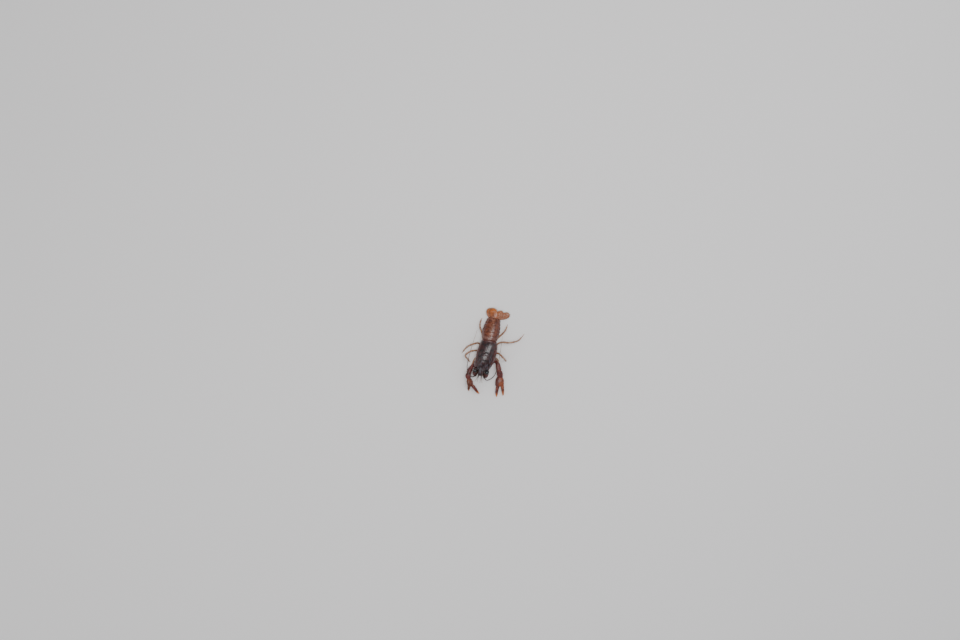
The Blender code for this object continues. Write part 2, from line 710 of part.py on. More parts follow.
def leg_keys(points, profile):
    """Key rows of a leg's length, with its thickness read at each point's share of the way."""
    lengths = [0.0]
    for start, end in zip(points, points[1:]):
        lengths.append(lengths[-1] + (Vector(end) - Vector(start)).length)
    rows = []
    for point, length in zip(points, lengths):
        half = profile_at(profile, length / lengths[-1])
        rows.append((*point, half, half))
    return rows


def make_thumb(lower, finish, group):
    """The fixed finger of a small pincer, beside the last length of a leg."""
    start, tip = Vector(lower[-2]), Vector(lower[-1])
    across = (tip - start).cross(UP).normalized() * THUMB_SPREAD
    keys = (
        (*start, THUMB_HALF, THUMB_HALF),
        (*(start.lerp(tip, THUMB_SHARES[0]) + across * THUMB_BEND), THUMB_HALF, THUMB_HALF),
        (*(start.lerp(tip, THUMB_SHARES[1]) + across), THUMB_TIP, THUMB_TIP),
    )
    return loft("thumb", sweep(keys, 2, 6), finish, group)


def make_leg(name, number, finish, group):
    """A walking leg in two pieces that meet at the knee."""
    side = RIGHT if name == "right" else LEFT
    to_knee, to_tip = LEG_KEYS[name, number]
    root = (side * (STERNUM_HALF + GAP), LEG_ROOT_Y[number], LEG_ROOT_Z)
    upper = (root, *to_knee)
    knee = Vector(to_knee[-1])
    arriving = (knee - Vector(upper[-2])).normalized()
    leaving = (Vector(to_tip[0]) - knee).normalized()
    facing = (arriving + leaving).normalized()
    lower = (tuple(knee + facing * GAP), *to_tip)
    rings = sweep(leg_keys(upper, UPPER_PROFILE), LEG_STEPS, LEG_SIDES, (side, 0, 0), facing)
    loft(f"leg_{number}_upper_{name}", rings, finish, group)
    rings = sweep(leg_keys(lower, LOWER_PROFILE), LEG_STEPS, LEG_SIDES, facing)
    core = loft(f"leg_{number}_lower_{name}", rings, finish, group)
    if number in PINCER_LEGS:
        fuse(core, [make_thumb(lower, finish, group)])


def segment_ring(y, half, top, low, belly):
    """A tail segment's section: an arch over the back, two side flaps and a hollow belly."""
    ring = []
    for n in range(ARCH_POINTS):
        turn = math.pi * n / (ARCH_POINTS - 1)
        x = power(math.cos(turn), ARCH_SQUARE[0]) * half
        ring.append((x, y, low + power(math.sin(turn), ARCH_SQUARE[1]) * (top - low)))
    inner = half - FLAP_THICKNESS
    above = inner - FLAP_SLOPE
    for x, z in ((-inner, low), (-above, belly), (0.0, belly), (above, belly), (inner, low)):
        ring.append((x, y, z))
    return ring


def pleopod(x, y, z, finish, group):
    """One blade of a swimmeret, hanging back from the belly."""
    keys = [(x, y + back, z + rise, half, high) for back, rise, half, high in PLEOPOD_KEYS]
    return loft("pleopod", sweep(keys, 2, 8), finish, group)


def make_abdomen(finish, group):
    """The six tail segments, each with its side flaps and its swimmerets."""
    pitch = (ABDOMEN_LENGTH + GAP) / SEGMENT_COUNT
    for index, (half, top, flap) in enumerate(SEGMENT_SIZES):
        front = CARAPACE_REAR + GAP + index * pitch
        rear = front + pitch - GAP
        sizes = SEGMENT_SIZES
        after = sizes[min(index + 1, len(sizes) - 1)]
        before = sizes[max(index - 1, 0)]
        rings = []
        for step in range(SEGMENT_RINGS):
            share = step / (SEGMENT_RINGS - 1)
            near = before if share < 0.5 else after
            blend = abs(share - 0.5) * NEIGHBOUR_SHARE
            lip = SEGMENT_STEP * (share - 0.5) * 2
            width = half + (near[0] - half) * blend + lip
            crest = top + (near[1] - top) * blend + lip
            low = flap + FLAP_RISE * (2 * (share - FLAP_LOWEST)) ** 2
            y = front + (rear - front) * share
            rings.append(segment_ring(y, width, crest, low, flap + BELLY_RISE))
        core = loft(f"abdomen_{index + 1}", rings, finish, group)
        if index + 1 in PLEOPOD_SEGMENTS:
            channel = half - FLAP_THICKNESS
            blades = [
                pleopod(side * share * channel, front + PLEOPOD_ROOT, flap + BELLY_RISE, finish, group)
                for side in (RIGHT, LEFT)
                for share in PLEOPOD_SHARES
            ]
            fuse(core, blades)


def make_tail_fan(finish, group):
    """The telson and the two plates on each side of it."""
    def placed(keys):
        return tuple((x, y + TAIL_Y, z, half, high) for x, y, z, half, high in keys)

    rings = sweep(placed(TELSON_KEYS), 2, 14, first=(0, 1, 0), square=0.6)
    core = loft("telson", rings, finish, group)
    points = [
        spine((x, y + TAIL_Y, z), (x, TELSON_SPINE_AHEAD, 0), SPINE_LENGTH, SPINE_RADIUS, finish, group)
        for x, y, z in TELSON_SPINES
    ]
    fuse(core, points)
    for (name, row), keys in UROPOD_KEYS.items():
        plate = placed(keys)
        rings = sweep(plate, 2, 12, first=(0, 1, 0), square=0.6)
        core = loft(f"uropod_{row}_{name}", rings, finish, group)
        rib = [(x, y, z + high - RIB_HALF + RIB_RISE, RIB_HALF, RIB_HALF) for x, y, z, _, high in plate]
        rib[0] = (rib[0][0], rib[0][1] + GAP, *rib[0][2:])
        fuse(core, [loft("rib", sweep(rib[:-1], 2, 6), finish, group)])


def main():
    """Builds every piece of the animal."""
    clear_scene()
    group = make_collection("crayfish")
    finishes = make_finishes()
    make_carapace(finishes["dark_shell"], group)
    make_sternum(finishes["belly"], group)
    for side in (RIGHT, LEFT):
        make_eye(side, finishes["eye"], group)
        make_antennule(side, finishes["feeler"], group)
        make_antenna(side, finishes["feeler"], group)
        make_scale(side, finishes["feeler"], group)
        make_maxilliped(side, finishes["leg"], group)
        make_claw_arm(side, finishes, group)
    for name, number in LEG_KEYS:
        make_leg(name, number, finishes["leg"], group)
    make_abdomen(finishes["tail_shell"], group)
    make_tail_fan(finishes["fan"], group)


main()
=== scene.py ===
"""The looks of a young white-clawed crayfish, a still life-size model about 16 mm long.

Sizes are in millimetres in the row frame: the head points along -Y, the tail along +Y,
+Z is up, the animal's right side lies at -X and the floor is z = 0. Each mesh is turned
into metres when its object is made.
"""

import logging
import math
from collections.abc import Callable, Sequence
from dataclasses import dataclass, field
from enum import Enum

import bpy
import numpy as np
from mathutils import Matrix, Vector


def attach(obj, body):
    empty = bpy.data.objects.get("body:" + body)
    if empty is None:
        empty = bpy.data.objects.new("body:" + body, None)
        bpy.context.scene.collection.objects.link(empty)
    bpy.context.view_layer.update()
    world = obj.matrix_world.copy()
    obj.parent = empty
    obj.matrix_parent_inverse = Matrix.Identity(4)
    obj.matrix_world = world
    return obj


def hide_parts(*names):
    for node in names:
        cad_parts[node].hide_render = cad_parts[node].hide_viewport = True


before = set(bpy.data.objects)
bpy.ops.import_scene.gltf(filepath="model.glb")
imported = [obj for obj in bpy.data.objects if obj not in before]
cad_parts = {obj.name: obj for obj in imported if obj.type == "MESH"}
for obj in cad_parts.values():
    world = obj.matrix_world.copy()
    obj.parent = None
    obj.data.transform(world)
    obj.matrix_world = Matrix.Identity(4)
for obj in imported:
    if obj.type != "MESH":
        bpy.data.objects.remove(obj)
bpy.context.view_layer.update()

MM = 0.001
TINY = 1e-12
ROOT = "root"
UP = np.array((0.0, 0.0, 1.0))
HEADWARD = (0.0, -1.0, 0.0)
HEAD_X = -0.22  # the head is turned to the animal's right
CAP_RINGS = 3  # rings of a rounded cap
CAP_OPENING = 0.3  # how far short of closing a rounded cap stops, in steps
PLATE_RIM_ROWS = 3.0  # rows over which a plate thins to its rim
PLATE_RIM_SHARE = 0.35  # of a plate's thickness, left at the rim
SMOOTHING = 0.6  # how far a point is drawn to its neighbours' middle
WAY_STEPS = 16  # points read for each span of a way
Array = np.ndarray
Socket = bpy.types.NodeSocket
Material = bpy.types.Material
Pair = tuple[float, float]
Triple = tuple[float, float, float]
Colour = Triple
Numbers = Sequence[float]
Rows = Sequence[Numbers]
Marks = dict[str, Array]
Inputs = dict[str | int, object]
log = logging.getLogger("crayfish")


class Side(Enum):
    """The animal's two sides, by the sign of x."""

    RIGHT = -1
    LEFT = 1

    @property
    def word(self) -> str:
        """The side as node names have it."""
        return self.name.lower()


class Slot(Enum):
    """Material slots of the record."""

    SHELL = "carapace_shell"
    BELLY = "belly_plate"
    EYE = "eye"
    FEELER = "feeler"
    ARM = "claw_arm"
    HAND = "claw_hand"
    FINGER = "claw_finger"
    LEG = "leg"
    TAIL = "tail_shell"
    FAN = "tail_fan"


def unit(vector: Numbers) -> Array:
    """The vector at length one."""
    vector = np.asarray(vector, float)
    return vector / (np.linalg.norm(vector) + TINY)


def units(vectors: Array) -> Array:
    """Many vectors, each at length one."""
    return vectors / (np.linalg.norm(vectors, axis=-1)[..., None] + TINY)


def run(points: Array) -> Array:
    """How far along a row of points each one lies."""
    return np.concatenate([[0.0], np.cumsum(np.linalg.norm(np.diff(points, axis=0), axis=1))])


def read(places: Array | float, known: Array, table: Array) -> Array:
    """A table's columns read between the places where they are known."""
    return np.stack([np.interp(places, known, column) for column in table.T], axis=-1)


def ringed(values: Array, sides: int) -> Array:
    """A number for each point of a tube, from one number for each of its rings."""
    return np.concatenate([np.repeat(values, sides), values[[0, -1]]])


def bell(away: Array | float, width: float) -> Array | float:
    """A smooth bump of height 1 about zero."""
    return np.exp(-np.square(away / width))


def ease(value: Array | float, low: float, high: float) -> Array:
    """A smooth rise from 0 at low to 1 at high."""
    share = np.clip((np.asarray(value, float) - low) / (high - low), 0.0, 1.0)
    return share * share * (3.0 - 2.0 * share)


def power(value: Array | float, exponent: float) -> Array:
    """A power that keeps the sign."""
    return np.sign(value) * np.abs(value) ** exponent


def spline(keys: Rows, steps: int) -> Array:
    """Rows read from a Catmull-Rom curve through the keys.

    Args:
        keys: Rows of equal length.
        steps: Rows made for each span.

    Returns:
        The rows, the last key included.
    """
    rows = np.asarray(keys, float)
    padded = np.vstack([rows[0], rows, rows[-1]])
    t = (np.arange(steps) / steps)[:, None]
    found = []
    for before, start, end, after in zip(padded, padded[1:], padded[2:], padded[3:]):
        slope_in, slope_out = (end - before) / 2, (after - start) / 2
        rise = start - end
        cubic = 2 * rise + slope_in + slope_out
        square = -3 * rise - 2 * slope_in - slope_out
        found.append(((cubic * t + square) * t + slope_in) * t + start)
    return np.vstack([*found, rows[-1]])


def sweep(
    keys: Rows,
    steps: int,
    sides: int,
    first: Numbers | None = None,
    last: Numbers | None = None,
    roll: float = 0.0,
    square: float = 1.0,
) -> Array:
    """Oval rings along a smooth way.

    Args:
        keys: Rows of x, y, z, half width and half height.
        steps: Rings made for each span.
        sides: Points of a ring.
        first: The way that the first ring faces.
        last: The way that the last ring faces.
        roll: Turn of the ovals about the way, in radians.
        square: Under 1 the ovals are boxier.

    Returns:
        Points by ring and place round the ring.
    """
    rows = spline(keys, steps)
    places = rows[:, :3]
    ahead = np.gradient(places, axis=0)
    if first is not None:
        ahead[0] = first
    if last is not None:
        ahead[-1] = last
    ahead = units(ahead)
    across = units(np.cross(ahead, UP))
    over = np.cross(across, ahead)
    if roll:
        across, over = (
            across * math.cos(roll) + over * -math.sin(roll),
            over * math.cos(roll) + across * math.sin(roll),
        )
    turn = 2 * np.pi * (np.arange(sides) + 0.5) / sides
    wide, high = power(np.cos(turn), square), power(np.sin(turn), square)
    return (
        places[:, None]
        + across[:, None] * (wide[None] * rows[:, 3:4])[..., None]
        + over[:, None] * (high[None] * rows[:, 4:5])[..., None]
    )


def domed(rings: Array, depth: float, steps: int = CAP_RINGS) -> Array:
    """The rings with a rounded cap of extra rings at each end."""
    def cap(ring: Array, beyond: Array) -> list[Array]:
        middle = ring.mean(axis=0)
        out = unit(middle - beyond) * depth
        turns = [0.5 * math.pi * (n + 1) / (steps + CAP_OPENING) for n in range(steps)]
        return [middle + out * math.sin(a) + (ring - middle) * math.cos(a) for a in turns]

    head = cap(rings[0], rings[1].mean(axis=0))[::-1]
    foot = cap(rings[-1], rings[-2].mean(axis=0))
    return np.stack([*head, *rings, *foot])


@dataclass
class Form:
    """A mesh in the making: points in millimetres, quads and triangles."""

    points: Array
    quads: Array
    triangles: Array = field(default_factory=lambda: np.zeros((0, 3), int))

    @classmethod
    def tube(cls, rings: Array) -> "Form":
        """A closed body through rings, its ends filled by fans.

        Args:
            rings: Points by ring and place round the ring.

        Returns:
            The closed form.
        """
        count, sides = rings.shape[:2]
        index = np.arange(count * sides).reshape(count, sides)
        following = np.roll(index, -1, axis=1)
        quads = np.stack([index[:-1], following[:-1], following[1:], index[1:]], axis=-1)
        centres = np.stack([rings[0].mean(axis=0), rings[-1].mean(axis=0)])
        points = np.vstack([rings.reshape(-1, 3), centres])
        head, foot = count * sides, count * sides + 1
        fans = [np.stack([following[0], index[0], np.full(sides, head)], axis=-1)]
        fans.append(np.stack([index[-1], following[-1], np.full(sides, foot)], axis=-1))
        return cls(points, quads.reshape(-1, 4), np.vstack(fans)).outward()

    @classmethod
    def plate(cls, grid: Array, thickness: float) -> "Form":
        """A closed thin plate on a grid of points, thinning towards its rim.

        Args:
            grid: Points by row and column of the outer face.
            thickness: Its thickness away from the rim.

        Returns:
            The closed form.
        """
        rows, columns = grid.shape[:2]
        down = np.gradient(grid, axis=0)
        along = np.gradient(grid, axis=1)
        edges = [np.minimum(np.arange(n), np.arange(n)[::-1]) / PLATE_RIM_ROWS for n in (rows, columns)]
        edge = np.clip(np.minimum(edges[0][:, None], edges[1][None]), 0.0, 1.0)
        depth = thickness * (PLATE_RIM_SHARE + (1.0 - PLATE_RIM_SHARE) * np.sqrt(edge))
        inner = grid - units(np.cross(down, along)) * depth[..., None]
        step = rows * columns
        index = np.arange(step).reshape(rows, columns)
        below = index + step
        top = np.stack([index[:-1, :-1], index[1:, :-1], index[1:, 1:], index[:-1, 1:]], axis=-1)
        under = np.stack([below[:-1, :-1], below[:-1, 1:], below[1:, 1:], below[1:, :-1]], axis=-1)
        loop = np.concatenate([index[0, :-1], index[:-1, -1], index[-1, :0:-1], index[:0:-1, 0]])
        after = np.roll(loop, -1)
        rim = np.stack([loop, after, after + step, loop + step], axis=-1)
        points = np.vstack([grid.reshape(-1, 3), inner.reshape(-1, 3)])
        return cls(points, np.vstack([top.reshape(-1, 4), under.reshape(-1, 4), rim])).outward()

    @classmethod
    def ball(cls, centre: Numbers, radii: Numbers, sides: int = 24) -> "Form":
        """An ellipsoid about a centre, with half sizes along x, y and z."""
        turns = np.linspace(0, np.pi, sides // 2 + 1)[1:-1, None]
        around = 2 * np.pi * np.arange(sides)[None] / sides
        flat = np.sin(turns)
        rings = [flat * np.cos(around), flat * np.sin(around), np.cos(turns) + 0.0 * around]
        form = cls.tube(np.stack(rings, axis=-1) * np.asarray(radii) + np.asarray(centre))
        form.points[-2] = np.asarray(centre) + (0, 0, radii[2])
        form.points[-1] = np.asarray(centre) - (0, 0, radii[2])
        return form

    @classmethod
    def joined(cls, forms: Sequence["Form"]) -> "Form":
        """Several forms as one, side by side in one mesh."""
        shift, quads, triangles = 0, [], []
        for form in forms:
            quads.append(form.quads + shift)
            triangles.append(form.triangles + shift)
            shift += len(form.points)
        points = np.vstack([form.points for form in forms])
        return cls(points, np.vstack(quads), np.vstack(triangles))

    def outward(self) -> "Form":
        """The form with its faces turned out, judged by the volume that they enclose."""
        corners = np.vstack([self.quads[:, [0, 1, 2]], self.quads[:, [0, 2, 3]], self.triangles])
        a, b, c = (self.points[corners[:, n]] for n in range(3))
        if np.einsum("ij,ij->i", a, np.cross(b, c)).sum() < 0:
            self.quads = self.quads[:, ::-1]
            self.triangles = self.triangles[:, ::-1]
        return self

    def normals(self) -> Array:
        """The outward direction at each point."""
        found = np.zeros_like(self.points)
        for faces in (self.quads, self.triangles):
            count = faces.shape[1]
            a, b, c, d = (self.points[faces[:, n % count]] for n in range(4))
            face = np.cross(c - a, d - b)
            for n in range(count):
                np.add.at(found, faces[:, n], face)
        return units(found)

    def pushed(self, height: Callable[[Array], Array]) -> "Form":
        """The form with each point moved out along its normal by a height read from the points."""
        self.points = self.points + self.normals() * height(self.points)[:, None]
        return self

    def smoothed(self, rounds: int) -> "Form":
        """The form with its points drawn towards their neighbours' middle."""
        ends = np.vstack([self.quads[:, [n, (n + 1) % 4]] for n in range(4)])
        count = np.zeros(len(self.points))
        np.add.at(count, ends[:, 0], 1.0)
        np.add.at(count, ends[:, 1], 1.0)
        for _ in range(rounds):
            total = np.zeros_like(self.points)
            np.add.at(total, ends[:, 0], self.points[ends[:, 1]])
            np.add.at(total, ends[:, 1], self.points[ends[:, 0]])
            middle = total / np.maximum(count, 1.0)[:, None]
            self.points = self.points * (1.0 - SMOOTHING) + middle * SMOOTHING
        return self

    def grounded(self) -> "Form":
        """The form with nothing below the floor."""
        self.points[:, 2] = np.maximum(self.points[:, 2], 0.0)
        return self

    def fused(self, voxel: float, rounds: int = 3) -> "Form":
        """One skin over overlapping closed bodies.

        Args:
            voxel: Edge of the new faces, in millimetres.
            rounds: Rounds of smoothing.

        Returns:
            A new form of quads.
        """
        thing = self.as_object("fusing", 1.0)
        remesh = thing.modifiers.new("Fuse", "REMESH")
        remesh.mode = "VOXEL"
        remesh.voxel_size = voxel
        graph = bpy.context.evaluated_depsgraph_get()
        mesh = thing.evaluated_get(graph).to_mesh()
        points = np.empty(len(mesh.vertices) * 3)
        mesh.vertices.foreach_get("co", points)
        corners = np.empty(len(mesh.loops), np.int32)
        mesh.loops.foreach_get("vertex_index", corners)
        form = Form(points.reshape(-1, 3), corners.reshape(-1, 4).astype(int))
        bpy.data.objects.remove(thing)
        return form.smoothed(rounds)

    def as_object(self, name: str, scale: float = MM) -> bpy.types.Object:
        """A Blender object of this form, shaded smooth."""
        mesh = bpy.data.meshes.new(name)
        mesh.from_pydata(self.points * scale, [], self.quads.tolist() + self.triangles.tolist())
        mesh.shade_smooth()
        thing = bpy.data.objects.new(name, mesh)
        bpy.context.scene.collection.objects.link(thing)
        return thing


class Value:
    """A number socket of a node tree, for sums written in Python."""

    def __init__(self, bench: "Bench", socket: Socket) -> None:
        """Keeps the socket and the bench that it belongs to."""
        self.bench = bench
        self.socket = socket

    def _worked(self, operation: str, first: "Value | float", second: "Value | float") -> "Value":
        """A Math node on two numbers."""
        made = self.bench.node("ShaderNodeMath", {"operation": operation}, {0: first, 1: second})
        return Value(self.bench, made.outputs[0])

    def __add__(self, other: "Value | float") -> "Value":
        """The sum."""
        return self._worked("ADD", self, other)

    def __radd__(self, other: float) -> "Value":
        """The sum, the number first."""
        return self._worked("ADD", other, self)

    def __sub__(self, other: "Value | float") -> "Value":
        """The difference."""
        return self._worked("SUBTRACT", self, other)

    def __rsub__(self, other: float) -> "Value":
        """The difference, the number first."""
        return self._worked("SUBTRACT", other, self)

    def __mul__(self, other: "Value | float") -> "Value":
        """The product."""
        return self._worked("MULTIPLY", self, other)

    def __rmul__(self, other: float) -> "Value":
        """The product, the number first."""
        return self._worked("MULTIPLY", other, self)

    def size(self) -> "Value":
        """The value without its sign."""
        return self._worked("ABSOLUTE", self, 0.0)

    def greatest(self, other: "Value | float") -> "Value":
        """The larger of two numbers."""
        return self._worked("MAXIMUM", self, other)


@dataclass(frozen=True)
class Spot:
    """Where a shader is: its point in millimetres, the point's parts and the mesh's own marks."""

    point: Socket
    x: Value
    y: Value
    z: Value
    along: Value
    rim: Value


@dataclass
class Bench:
    """A material in the making and its node tree."""

    material: Material

    @classmethod
    def named(cls, name: str) -> "Bench":
        """The bench of a new material."""
        material = bpy.data.materials.new(name)
        material.use_nodes = True
        return cls(material)

    def fill(self, node: bpy.types.Node, inputs: Inputs) -> None:
        """Sets or links a node's sockets, by name or number."""
        for name, value in inputs.items():
            socket = node.inputs[name]
            source = value.socket if isinstance(value, Value) else value
            if isinstance(source, Socket):
                self.material.node_tree.links.new(source, socket)
            elif isinstance(source, tuple) and socket.type == "RGBA":
                socket.default_value = (*source, 1.0)
            else:
                socket.default_value = source

    def done(self, sockets: Inputs) -> Material:
        """The material, once its shader's sockets are set or linked."""
        self.fill(self.material.node_tree.nodes["Principled BSDF"], sockets)
        return self.material

    def node(
        self,
        kind: str,
        settings: dict[str, object] | None = None,
        inputs: Inputs | None = None,
    ) -> bpy.types.Node:
        """Adds a node.

        Args:
            kind: Blender's type of the node.
            settings: Its properties, set first.
            inputs: Values or links of its sockets, by name or number.

        Returns:
            The node.
        """
        made = self.material.node_tree.nodes.new(kind)
        for name, value in (settings or {}).items():
            setattr(made, name, value)
        self.fill(made, inputs or {})
        return made

    def spot(self) -> Spot:
        """The point in millimetres and the marks kept on the mesh."""
        here = self.node("ShaderNodeTexCoord").outputs["Object"]
        scaled = self.node("ShaderNodeVectorMath", {"operation": "SCALE"}, {0: here, "Scale": 1 / MM})
        point = scaled.outputs[0]
        parts = self.node("ShaderNodeSeparateXYZ", None, {0: point}).outputs
        marks = [
            Value(self, self.node("ShaderNodeAttribute", {"attribute_name": name}).outputs["Fac"])
            for name in ("along", "rim")
        ]
        return Spot(point, *(Value(self, part) for part in parts), *marks)

    def noise(
        self,
        point: Socket,
        size: float,
        detail: float = 3.0,
        stretch: Triple = (1.0, 1.0, 1.0),
    ) -> Value:
        """Cloudy noise about 0.5.

        Args:
            point: The place in millimetres.
            size: How far apart its clouds lie, in millimetres.
            detail: How fine it goes.
            stretch: What each axis is multiplied by.

        Returns:
            The noise.
        """
        pulled = self.node("ShaderNodeVectorMath", {"operation": "MULTIPLY"}, {0: point, 1: stretch})
        inputs = {"Vector": pulled.outputs[0], "Scale": 1 / size, "Detail": detail}
        return Value(self, self.node("ShaderNodeTexNoise", None, inputs).outputs["Fac"])

    def cells(self, point: Socket, size: float) -> Value:
        """How far the place is from the middle of its cell, for cells of a size in millimetres."""
        made = self.node("ShaderNodeTexVoronoi", None, {"Vector": point, "Scale": 1 / size})
        return Value(self, made.outputs["Distance"])

    def rise(self, value: Value, low: float, high: float) -> Value:
        """A smooth rise from 0 at low to 1 at high."""
        settings = {"interpolation_type": "SMOOTHSTEP"}
        inputs = {"Value": value, "From Min": low, "From Max": high}
        return Value(self, self.node("ShaderNodeMapRange", settings, inputs).outputs[0])

    def hump(self, value: Value, width: float) -> Value:
        """1 where the value is zero, falling smoothly to 0 at the width to each side."""
        return 1.0 - self.rise(value.size(), 0.0, width)

    def blend(self, share: Value | float, first: object, second: object) -> Socket:
        """One colour passing into another."""
        settings = {"data_type": "RGBA"}
        return self.node("ShaderNodeMix", settings, {0: share, 6: first, 7: second}).outputs[2]

    def bump(self, height: Value, depth: float, below: Socket | None = None) -> Socket:
        """A normal that shows a height of so many millimetres."""
        inputs: Inputs = {"Height": height, "Distance": depth * MM, "Strength": 1.0}
        if below:
            inputs["Normal"] = below
        return self.node("ShaderNodeBump", None, inputs).outputs[0]


@dataclass(frozen=True)
class ShellFinish:
    """Wet horny shell, mottled in three tones, with its own colour at rims, joints and tips."""

    name: str
    deep: Colour
    body: Colour
    light: Colour
    rim: Colour
    tip: Colour
    tip_from: float = 0.75
    mottle: float = 0.7
    cloud: Pair = (0.36, 0.64)
    fleck: Pair = (0.54, 0.72)
    fleck_size: float = 0.22
    flecks: float = 0.6
    rim_share: float = 0.85
    roughness: Pair = (0.20, 0.36)
    pit: float = 0.16
    pit_edge: float = 0.42
    pit_depth: float = 0.012
    grain: float = 0.05
    grain_share: float = 0.5
    coat: float = 0.6
    coat_roughness: float = 0.16
    gloss: float = 0.3
    flesh: float = 0.0
    flesh_spread: Triple = (1.0, 0.45, 0.22)
    flesh_depth: float = 0.25

    def marked(self, bench: Bench, spot: Spot, tone: Socket) -> Socket:
        """The colour with this finish's own markings; a plain shell has none."""
        return tone

    def make(self) -> Material:
        """Builds the material."""
        bench = Bench.named(self.name)
        spot = bench.spot()
        cloud = bench.noise(spot.point, self.mottle, 4.0)
        fleck = bench.noise(spot.point, self.mottle * self.fleck_size)
        tone = bench.blend(bench.rise(cloud, *self.cloud), self.deep, self.body)
        tone = bench.blend(bench.rise(fleck, *self.fleck) * self.flecks, tone, self.light)
        tone = self.marked(bench, spot, tone)
        tone = bench.blend(bench.rise(spot.along, self.tip_from, 1.0), tone, self.tip)
        tone = bench.blend(spot.rim * self.rim_share, tone, self.rim)
        low, high = self.roughness
        pits = bench.bump(bench.rise(bench.cells(spot.point, self.pit), 0.0, self.pit_edge), self.pit_depth)
        grain = bench.noise(spot.point, self.grain, 2.0)
        return bench.done({
            "Base Color": tone,
            "Roughness": low + cloud * (high - low),
            "Normal": bench.bump(grain, self.pit_depth * self.grain_share, pits),
            "Specular IOR Level": self.gloss,
            "Coat Weight": self.coat,
            "Coat Roughness": self.coat_roughness,
            "Subsurface Weight": self.flesh,
            "Subsurface Radius": self.flesh_spread,
            "Subsurface Scale": self.flesh_depth * MM,
        })


@dataclass(frozen=True)
class CarapaceFinish(ShellFinish):
    """The dark back: painted blue-grey glints streaked along the head, maroon flanks and rear rim."""

    # painted reflection: blue-grey glints streaked lengthwise over the top of the head and back
    painted_glint: Colour = (0.082, 0.084, 0.102)
    flank: Colour = (0.112, 0.017, 0.012)
    belly: Colour = (0.20, 0.11, 0.07)
    painted_glint_size: float = 0.20
    painted_glint_pull: Triple = (1.0, 0.10, 0.5)
    painted_glint_edges: Pair = (0.52, 0.62)
    painted_glint_share: Pair = (0.20, 0.60)
    painted_glint_z: Pair = (1.9, 2.4)
    head_y: Pair = (-2.6, 0.4)
    flank_x: Pair = (1.35, 2.15)
    rear_y: Pair = (2.55, 2.95)
    belly_z: Pair = (1.02, 1.35)
    patch: Triple = (0.6, 0.30, 0.60)
    flank_share: float = 0.85

    def marked(self, bench: Bench, spot: Spot, tone: Socket) -> Socket:
        """Adds the painted blue-grey glints and the flanks' colour."""
        # Painted reflection: lengthwise blue-grey glints, strongest on the head and only high on the back
        lines = bench.noise(spot.point, self.painted_glint_size, 2.0, self.painted_glint_pull)
        everywhere, ahead = self.painted_glint_share
        share = everywhere + (1.0 - bench.rise(spot.y, *self.head_y)) * ahead
        painted_glint_mask = bench.rise(lines, *self.painted_glint_edges) * share * bench.rise(spot.z, *self.painted_glint_z)
        tone = bench.blend(painted_glint_mask, tone, self.painted_glint)
        sides = bench.rise(spot.x.size(), *self.flank_x).greatest(bench.rise(spot.y, *self.rear_y))
        size, *edges = self.patch
        maroon = sides * bench.rise(bench.noise(spot.point, size), *edges)
        tone = bench.blend(maroon * self.flank_share, tone, self.flank)
        return bench.blend(1.0 - bench.rise(spot.z, *self.belly_z), tone, self.belly)


@dataclass(frozen=True)
class TailFinish(ShellFinish):
    """The tail's back: a painted highlight over the first band, a painted highlight along the midline, and
    dark side flaps.
    """

    # painted highlight: a pale grey sheen laid over the first band
    band: Colour = (0.175, 0.080, 0.064)
    # painted highlight: a lighter midline where the back's crest catches the light
    middle: Colour = (0.28, 0.100, 0.043)
    flap: Colour = (0.105, 0.021, 0.012)
    patch: Triple = (0.35, 0.35, 0.62)
    midline_glint_half: float = 0.62
    midline_glint_share: float = 0.65
    flap_x: Pair = (1.05, 1.65)
    flap_sway: float = 0.7
    flap_share: float = 0.85
    band_glint_y: Pair = (3.75, 4.15)
    band_glint_share: float = 0.6

    def marked(self, bench: Bench, spot: Spot, tone: Socket) -> Socket:
        """Adds the painted highlights over the first band and along the midline, and the flaps."""
        size, *edges = self.patch
        patch = bench.noise(spot.point, size)
        # Painted highlight along the midline, in patches
        midline_glint = bench.hump(spot.x, self.midline_glint_half) * bench.rise(patch, *edges)
        tone = bench.blend(midline_glint * self.midline_glint_share, tone, self.middle)
        side = bench.rise(spot.x.size() + (patch - 0.5) * self.flap_sway, *self.flap_x)
        tone = bench.blend(side * self.flap_share, tone, self.flap)
        # Painted highlight over the first band
        front = 1.0 - bench.rise(spot.y, *self.band_glint_y)
        return bench.blend(front * self.band_glint_share, tone, self.band)


@dataclass(frozen=True)
class FanFinish(ShellFinish):
    """The tail fan: orange, brighter to the end, duller on the left plates."""

    bright: Colour = (0.46, 0.130, 0.026)
    olive: Colour = (0.27, 0.100, 0.048)
    patch: Triple = (0.5, 0.2, 0.6)
    bright_y: Pair = (8.6, 10.3)
    olive_x: Pair = (0.55, 1.5)
    olive_sway: float = 0.8
    olive_share: float = 0.7

    def marked(self, bench: Bench, spot: Spot, tone: Socket) -> Socket:
        """Adds the bright ends and the left side's olive."""
        size, *edges = self.patch
        patch = bench.noise(spot.point, size)
        bright = bench.rise(spot.y, *self.bright_y) * bench.rise(patch, *edges)
        tone = bench.blend(bright, tone, self.bright)
        left = bench.rise(spot.x + (patch - 0.5) * self.olive_sway, *self.olive_x)
        return bench.blend(left * self.olive_share, tone, self.olive)


@dataclass(frozen=True)
class HandFinish(ShellFinish):
    """A claw's hand: brown, its inner side dark maroon."""

    coat: float = 0.2
    roughness: Pair = (0.32, 0.46)
    pit: float = 0.12
    pit_depth: float = 0.014
    flesh: float = 0.05
    inner: Colour = (0.075, 0.016, 0.016)
    inner_x: Pair = (4.75, 4.05)
    inner_share: float = 0.75
    sway: float = 0.5

    def marked(self, bench: Bench, spot: Spot, tone: Socket) -> Socket:
        """Adds the dark inner side."""
        here = spot.x + (bench.noise(spot.point, 0.5) - 0.5) * self.sway
        none, full = self.inner_x
        share = 1.0 - bench.rise(here, full, none) if full < none else bench.rise(here, none, full)
        return bench.blend(share * self.inner_share, tone, self.inner)


